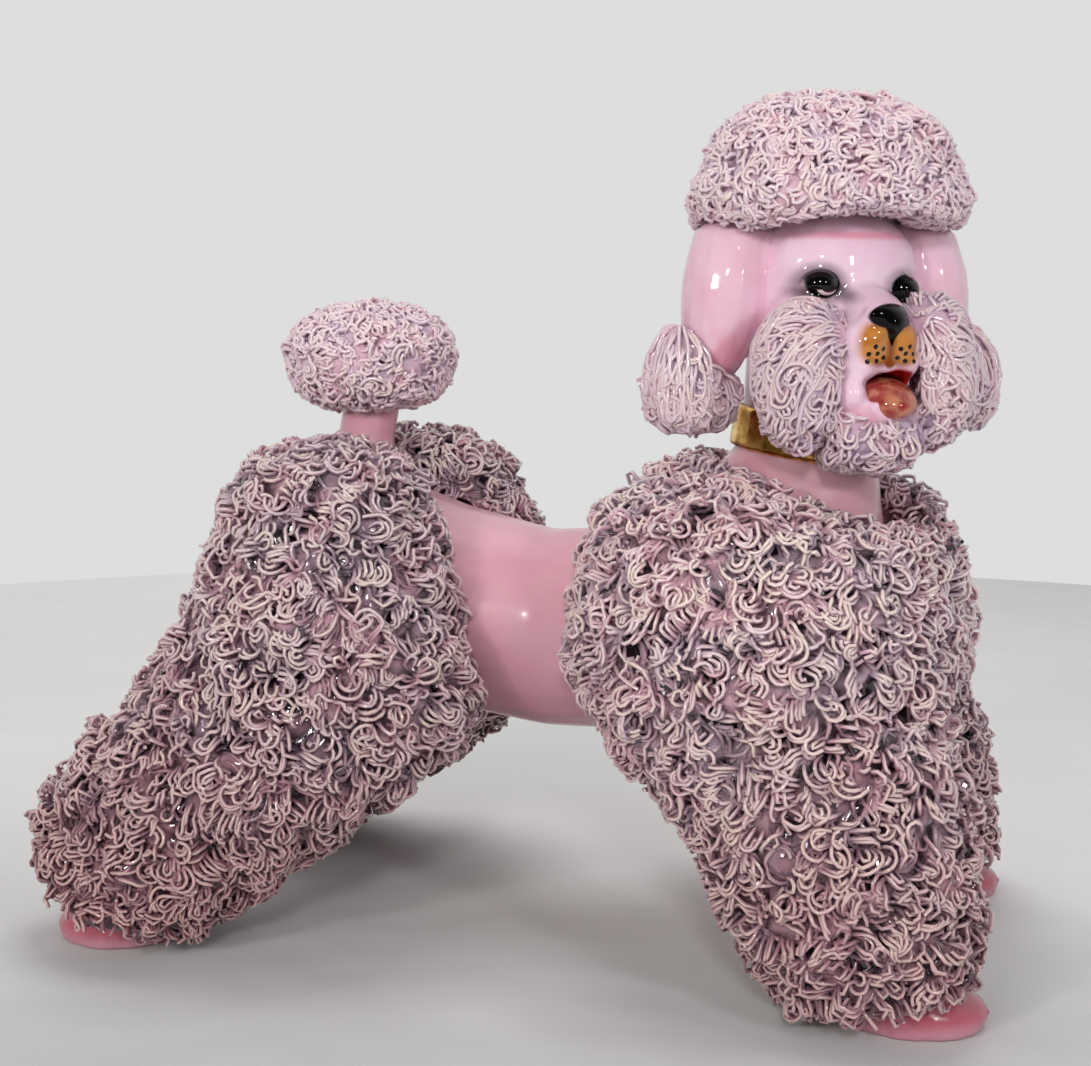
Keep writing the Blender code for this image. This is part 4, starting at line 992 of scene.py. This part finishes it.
def makeCoat(name, nodeNames, look, glazeMaterial, seed, extra=None):
    # The bed goes with the first share of the strands; each piece stays under its limit of triangles
    rng = np.random.default_rng(seed)
    mesh, skin = joinedSkin(name, nodeNames, look)
    ground = [face for nodeName in nodeNames for face in openGround(nodeName)]
    strands = extra(ground, skin, rng) if extra else []
    for layer in look["layers"]:
        strands += tuftLayer(ground, skin, layer, rng)
    bed = pooledBed(mesh, skin, look)
    bpy.data.meshes.remove(mesh)
    strands.sort(key=lambda strand: strand[0][0].x)
    weights = np.cumsum([(len(s[0]) + 0.6) * look["sides"] * 2 for s in strands])
    bedWeight = 2 * len(bed[1])
    shareCount = max(1, math.ceil((weights[-1] + bedWeight) / pieceLimit))
    limits = np.linspace(0, weights[-1] + bedWeight, shareCount + 1)[1:] - bedWeight
    total, first = 0, 0
    for k, limit in enumerate(limits):
        last = len(strands) if k == shareCount - 1 else int(np.searchsorted(weights, limit))
        pieceName = name + ("" if shareCount == 1 else "ABCDEF"[k])
        total += sweptPiece(pieceName, bed if k == 0 else ([], [], []), strands[first:last], look,
                            glazeMaterial, nodeNames if k == 0 else [], seed + k)
        first = last
    return total


# The rough coats on the legs, hips and chest: a flat lower layer, and ribbons that curl over it.
# Layers give the roots' spacing, a tuft's size, step and turn to either side, its height over the skin
# and that of its ends, and how often each kind of tuft comes
coatLook = {
    "diameter": 1.05, "sides": 4, "girthChange": 0.3,
    "skinCell": 2.0, "bedLevel": -2.5, "bedSwing": 1.6, "pool": 4.5,
    "layers": (
        {"spacing": 3.9, "size": 1.0, "step": 2.0, "spreadDegrees": 90, "rise": (-2.6, -1.4), "clump": 0.8,
         "rootLift": -3.0, "endLift": (-3.0, -1.8), "ripple": 0.35, "kinds": {"arc": 0.5, "squiggle": 0.5}},
        {"spacing": 3.22, "size": 0.8, "step": 1.15, "spreadDegrees": 48, "rise": (-1.2, 1.0), "clump": 2.4,
         "rootLift": -2.9, "endLift": (-2.6, 0.2), "ripple": 0.4, "phase": (1.0, 1.9),
         "kinds": {"nest": 0.27, "fan": 0.27, "ring": 0.11, "squiggle": 0.22, "arc": 0.13}},
    ),
}
# The coat glaze: a dark colour painted as shade in the recesses, and foot colours that are partly painted
# shade
coatGlaze = {
    "roughness": 0.13, "coat": 1.0, "patchMm": 13, "crestWarm": "ECD9CC", "crestCool": "E8D0D4",
    "glaze": "CDA0AD", "glazeAlt": "B29AA8", "deep": "241820",
    "crestRange": (0.3, 0.95), "bareRange": (-2.0, -0.2), "deepRange": (-3.2, -1.4),
    "footMm": 95, "footShare": 0.75, "foot": "BE9490", "footGlaze": "7A4550",
}
coatMaterial = makeStrandGlaze("strandCoatGlaze", coatGlaze)
# A darker copy of the coat glaze for the hind legs: painted shade, and darker still towards the feet
hindShadedGlaze = dict(coatGlaze, crestWarm="DECBC0", crestCool="D8C3C8", glaze="BE93A0", glazeAlt="A48C9A",
                 footShare=0.9)
hindShadedMaterial = makeStrandGlaze("hindCoatShadedGlaze", hindShadedGlaze)

triangles = 0
for side, word in enumerate(("right", "left")):
    triangles += makeCoat("hindCoat" + word.title(), ["hind_coat_" + word], coatLook, hindShadedMaterial,
                          11 + 10 * side)
triangles += makeCoat("chestCoat", ["mane_coat", "front_leg_coat_right", "front_leg_coat_left"], coatLook,
                      coatMaterial, 41)

# The finer, flatter tufts of the topknot and the tail, webbed together with glaze
fineLook = {
    "diameter": 1.05, "sides": 4, "girthChange": 0.3,
    "skinCell": 1.3, "bedLevel": -1.2, "bedSwing": 1.1, "pool": 3.2,
    "layers": (
        {"spacing": 2.0, "size": 0.52, "step": 1.1, "spreadDegrees": 120, "rise": (-0.8, 0.6), "clump": 0.8,
         "rootLift": -1.5, "endLift": (-1.4, 0.3), "ripple": 0.3,
         "kinds": {"nest": 0.14, "fan": 0.2, "ring": 0.08, "squiggle": 0.42, "arc": 0.16}},
    ),
}
# Its dark colour is painted shade in the recesses
fineGlaze = {
    "roughness": 0.11, "coat": 0.8, "patchMm": 8, "crestWarm": "F0DCD6", "crestCool": "EEDAE2",
    "glaze": "E0BAC8", "glazeAlt": "D4BCCE", "deep": "6A4456",
    "crestRange": (0.3, 0.95), "bareRange": (-1.3, -0.2), "deepRange": (-2.2, -1.2),
    "footMm": 75, "footShare": 0.0, "foot": "E8D4DC", "footGlaze": "DDAEC0",
}
fineMaterial = makeStrandGlaze("fineStrandGlaze", fineGlaze)
# A darker copy of the fine glaze for the long strands of ears, cheeks and chin: painted shade
longShadedGlaze = dict(fineGlaze, crestWarm="E4CECA", crestCool="DECAD4", glaze="D0A8B8", glazeAlt="C2A8BC")
longShadedMaterial = makeStrandGlaze("longStrandShadedGlaze", longShadedGlaze)
triangles += makeCoat("topknotTufts", ["topknot"], dict(fineLook, trim=(2.2, 12)), fineMaterial,
                      71)
triangles += makeCoat("tailPompom", ["tail_pompom"], fineLook, fineMaterial, 75)

# Long combed strands: round the ear tassels, and over the upper half of the cheeks
combLook = {
    "diameter": 0.98, "sides": 6, "girthChange": 0.3, "pitch": 1.05, "spacing": 2.6,
    "rise": (-0.6, 0.5), "rootLift": -0.9, "endLift": -0.4, "bundle": (2, 5),
    # A bundle spreads, droops, and hooks and settles at its end
    "spread": 0.06, "droop": 0.07, "hookFrom": 0.62, "settleFrom": 0.8,
    "skinCell": 1.0, "bedLevel": -0.9, "bedSwing": 0.9, "pool": 3.0,
    "layers": (
        {"spacing": 2.6, "size": 0.5, "step": 1.1, "spreadDegrees": 30, "rise": (-0.3, 0.9), "clump": 0.6,
         "rootLift": -1.2, "endLift": (-0.6, 1.4), "ripple": 0.3, "lowest": 0.32,
         "kinds": {"nest": 0.3, "fan": 0.2, "ring": 0.2, "squiggle": 0.3}},
    ),
}


def combed(ground, skin, look, rng, pole, pull, lengths, hook, stray):
    # Bundles that follow the skin, step by step, away from a pole and then pulled one way
    strands = []
    for spot in spreadRoots(ground, look["spacing"] * mm, rng):
        root, normal = skin.find_nearest(spot)[:2]
        heading = root - pole
        heading = (heading - normal * heading.dot(normal)).normalized()
        length = rng.uniform(*lengths)
        count = int(rng.integers(*look["bundle"]))
        rise, shade = rng.uniform(*look["rise"]), rng.random()
        curl = rng.uniform(-hook, hook)
        lean = rng.normal() * stray
        for i in range(count):
            aside = normal.cross(heading)
            point = root + aside * (i - (count - 1) / 2) * look["pitch"] * mm
            direction = Matrix.Rotation(lean + (i - (count - 1) / 2) * look["spread"], 3, normal) @ heading
            steps = max(5, int(length * rng.uniform(0.8, 1.15) / stepMm))
            own, wave, swing = rng.uniform(-0.25, 0.25), rng.uniform(0, 6.3), rng.uniform(0.02, 0.16)
            path, heights, normals = [], [], []
            for k in range(steps):
                t = k / (steps - 1)
                near, nearNormal = skin.find_nearest(point)[:2]
                height = look["rootLift"] + (rise + own - look["rootLift"]) * min(1.0, 4 * t)
                if t > look["settleFrom"]:
                    height += (look["endLift"] - rise) * (t - look["settleFrom"]) * 2
                placed = point + nearNormal * (height * mm - (point - near).dot(nearNormal))
                path.append(placed)
                heights.append(height)
                normals.append(nearNormal)
                direction = direction + pull * look["droop"] * stepMm
                direction = (direction - nearNormal * direction.dot(nearNormal)).normalized()
                bend = swing * math.sin(wave + k * 0.8) + (curl if t > look["hookFrom"] else 0.0)
                direction = Matrix.Rotation(bend, 3, nearNormal) @ direction
                point = placed + direction * stepMm * mm
            strands.append((path, heights, normals, shade))
    return strands


down = Vector((0, 0, -1))
for side, word in ((-1, "right"), (1, "left")):
    low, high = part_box("ear_tassel_" + word)
    top = Vector(((low.x + high.x) / 2, (low.y + high.y) / 2, high.z + 2 * mm))
    triangles += makeCoat(
        "earTassel" + word.title(), ["ear_tassel_" + word], combLook, longShadedMaterial,
        81 + side,
        lambda ground, skin, rng: combed(ground, skin, combLook, rng, top, down, (9, 18), 0.8, 0.26))

# Cheek ruffs and beard: combed away from the nose above, curled and tangled ribbons below.
# For either side, tuckIn is beside the nose and beside the mouth, and dip is at the top
faceLook = dict(combLook, sides=5, tuckIn={-1: (1.8, -0.8), 1: (0.2, -3.2)}, dip={-1: 1.8, 1: 0.0}, layers=(
    {"spacing": 4.2, "size": 0.6, "step": 1.1, "spreadDegrees": 60, "rise": (-0.6, 0.4), "clump": 0.6,
     "rootLift": -1.3, "endLift": (-1.2, 0.4), "ripple": 0.3, "kinds": {"squiggle": 0.6, "arc": 0.4}},
    {"spacing": 3.0, "size": 0.75, "step": 1.1, "spreadDegrees": 40, "rise": (-0.7, 0.9), "clump": 1.0,
     "rootLift": -1.5, "endLift": (-1.4, 0.8), "ripple": 0.3, "lowest": 0.66,
     "kinds": {"nest": 0.26, "fan": 0.3, "ring": 0.1, "squiggle": 0.2, "arc": 0.14}},
))
combedAbove = -20.0  # mm in the head's frame


def cheekCombing(ground, skin, rng):
    strands = []
    backwards = headFrame.inverted()
    for side in (-1, 1):
        pole = headFrame @ Vector((33.0, side * 7.0, -8.0))
        upper = []
        for face in ground:
            middle = backwards @ Vector(np.mean(face, axis=0))
            if middle.z > combedAbove and middle.y * side > 0:
                upper.append(face)
        strands += combed(upper, skin, combLook, rng, pole, down, (9, 17), 0.6, 0.36)
    return strands


triangles += makeCoat("cheekRuffs", ["cheek_ruff_right", "cheek_ruff_left", "chin_beard"], faceLook,
                      longShadedMaterial, 91, cheekCombing)
print("strands done,", triangles, "triangles")

# Stage: a pale cloth floor, whose far edge is the photograph's line between table and wall
stage = {
    "radius": 0.644, "cloth": "F0EFEE", "nearCloth": "B6B6B8", "nearToFar": (-0.22, 0.12),
    "fold": "C9C6C3", "foldMm": 60, "foldShadeShare": 0.15, "foldDepthMm": 6.0, "roughness": 0.9,
    "wall": "DDDEDD", "room": "3A3634", "ambient": "FFFFFF", "ambientStrength": 0.3,
}


def makeFloor():
    # Matt woven cloth, with soft folds; painted shade darkens the folds and the near side
    look = stage
    material, tree = newMaterial("whiteCloth")
    place = addNode(tree, "ShaderNodeTexCoord", output="Object")
    depth = addNode(tree, "ShaderNodeSeparateXYZ", None, (place,), "Y")
    # Painted shade: darker on the near side, and along the folds
    colour = laidOver(tree, look["nearCloth"], look["cloth"], depth, *look["nearToFar"])
    foldShading = addNode(tree, "ShaderNodeMath", times, (patches(tree, look["foldMm"]), look["foldShadeShare"]))
    colour = addNode(tree, "ShaderNodeMix", inColour, (foldShading, colour, look["fold"]))
    setShader(tree, {
        "Base Color": colour, "Roughness": look["roughness"], "IOR": 1.4},
        look["foldMm"], look["foldDepthMm"], 0.6)
    work = bmesh.new()
    bmesh.ops.create_circle(work, cap_ends=True, segments=128, radius=look["radius"])
    floor = newObject("floorCloth", meshOf("floorCloth", work))
    floor.data.materials.append(material)


makeFloor()

# Each lamp's place, the place it looks at, its width in metres, its power and its colour
lamps = {
    "keyLamp": ((-0.2, -0.95, 0.36), (0, 0, 0.1), 0.5, 2.2, "FFF8F0"),
    "fillLamp": ((0.75, -0.5, 0.5), (0, 0, 0.1), 0.6, 0.8, "EEF3FF"),
    "topLamp": ((0.0, 0.15, 0.95), (0, 0, 0.1), 0.6, 2.9, "FFFFFF"),
    "backLamp": ((-0.5, 0.75, 0.5), (0, 0, 0.1), 0.6, 1.4, "FFFFFF"),
    "sparkLamp": ((0.2, -0.75, 0.42), (0.05, 0, 0.12), 0.1, 1.5, "FFFFFF"),
    "sparkLampLeft": ((-0.25, -0.75, 0.33), (0, 0, 0.1), 0.08, 1.1, "FFFFFF"),
    "sparkLampRight": ((0.6, -0.55, 0.35), (0.05, 0, 0.12), 0.08, 0.8, "FFFFFF"),
}
widestGlint = 0.2  # wider lamps light the figurine, but don't show in its glaze

for name, (place, target, width, power, colour) in lamps.items():
    lamp = bpy.data.lights.new(name, "AREA")
    lamp.shape = "DISK"
    lamp.size = width
    lamp.energy = power
    lamp.color = toLinear(colour)[:3]
    lampObject = newObject(name, lamp)
    lampObject.location = place
    lampObject.rotation_euler = (Vector(target) - Vector(place)).to_track_quat("-Z", "Y").to_euler()
    lampObject.visible_glossy = width < widestGlint


def makeRoom():
    # The wall is pale wherever the camera looks; in reflections, the room on the photographer's side is dim
    world = bpy.data.worlds.new("studio")
    bpy.context.scene.world = world
    world.use_nodes = True
    tree = world.node_tree
    tree.nodes.clear()
    ray = addNode(tree, "ShaderNodeLightPath").node.outputs
    through = addNode(tree, "ShaderNodeMath", larger, (ray["Is Glossy Ray"], ray["Is Transmission Ray"]))
    seen = addNode(tree, "ShaderNodeMath", larger, (ray["Is Camera Ray"], through))
    direction = addNode(tree, "ShaderNodeTexCoord", output="Generated")
    behind = addNode(tree, "ShaderNodeSeparateXYZ", None, (direction,), "Y")
    pale = addNode(tree, "ShaderNodeMapRange", smooth, (behind, -0.5, 0.35))
    pale = addNode(tree, "ShaderNodeMath", larger, (pale, ray["Is Camera Ray"]))
    wall = addNode(tree, "ShaderNodeMix", inColour, (pale, stage["room"], stage["wall"]))
    light = addNode(tree, "ShaderNodeBackground", None, (stage["ambient"], stage["ambientStrength"]))
    backdrop = addNode(tree, "ShaderNodeBackground", None, (wall, 1.0))
    chosen = addNode(tree, "ShaderNodeMixShader", None, (seen, light, backdrop))
    addNode(tree, "ShaderNodeOutputWorld", None, {"Surface": chosen})


makeRoom()

# Camera at the photograph's place and angle; the lens is worked out from its focal length in pixels
viewpoint = {"place": (0.1198, -0.40475, 0.1476), "down": 6.8, "turn": 16.1, "focus": 1700, "across": 1091}
sensorWidth = 36
camera = bpy.data.cameras.new("photoCamera")
cameraObject = newObject("photoCamera", camera)
cameraObject.location = viewpoint["place"]
cameraObject.rotation_euler = (math.radians(90 - viewpoint["down"]), 0, math.radians(viewpoint["turn"]))
camera.sensor_width = sensorWidth
camera.lens = viewpoint["focus"] / viewpoint["across"] * sensorWidth
camera.clip_start = 0.01
bpy.context.scene.camera = cameraObject
bpy.context.scene.view_settings.view_transform = "Standard"
print("stage, lamps and camera set")
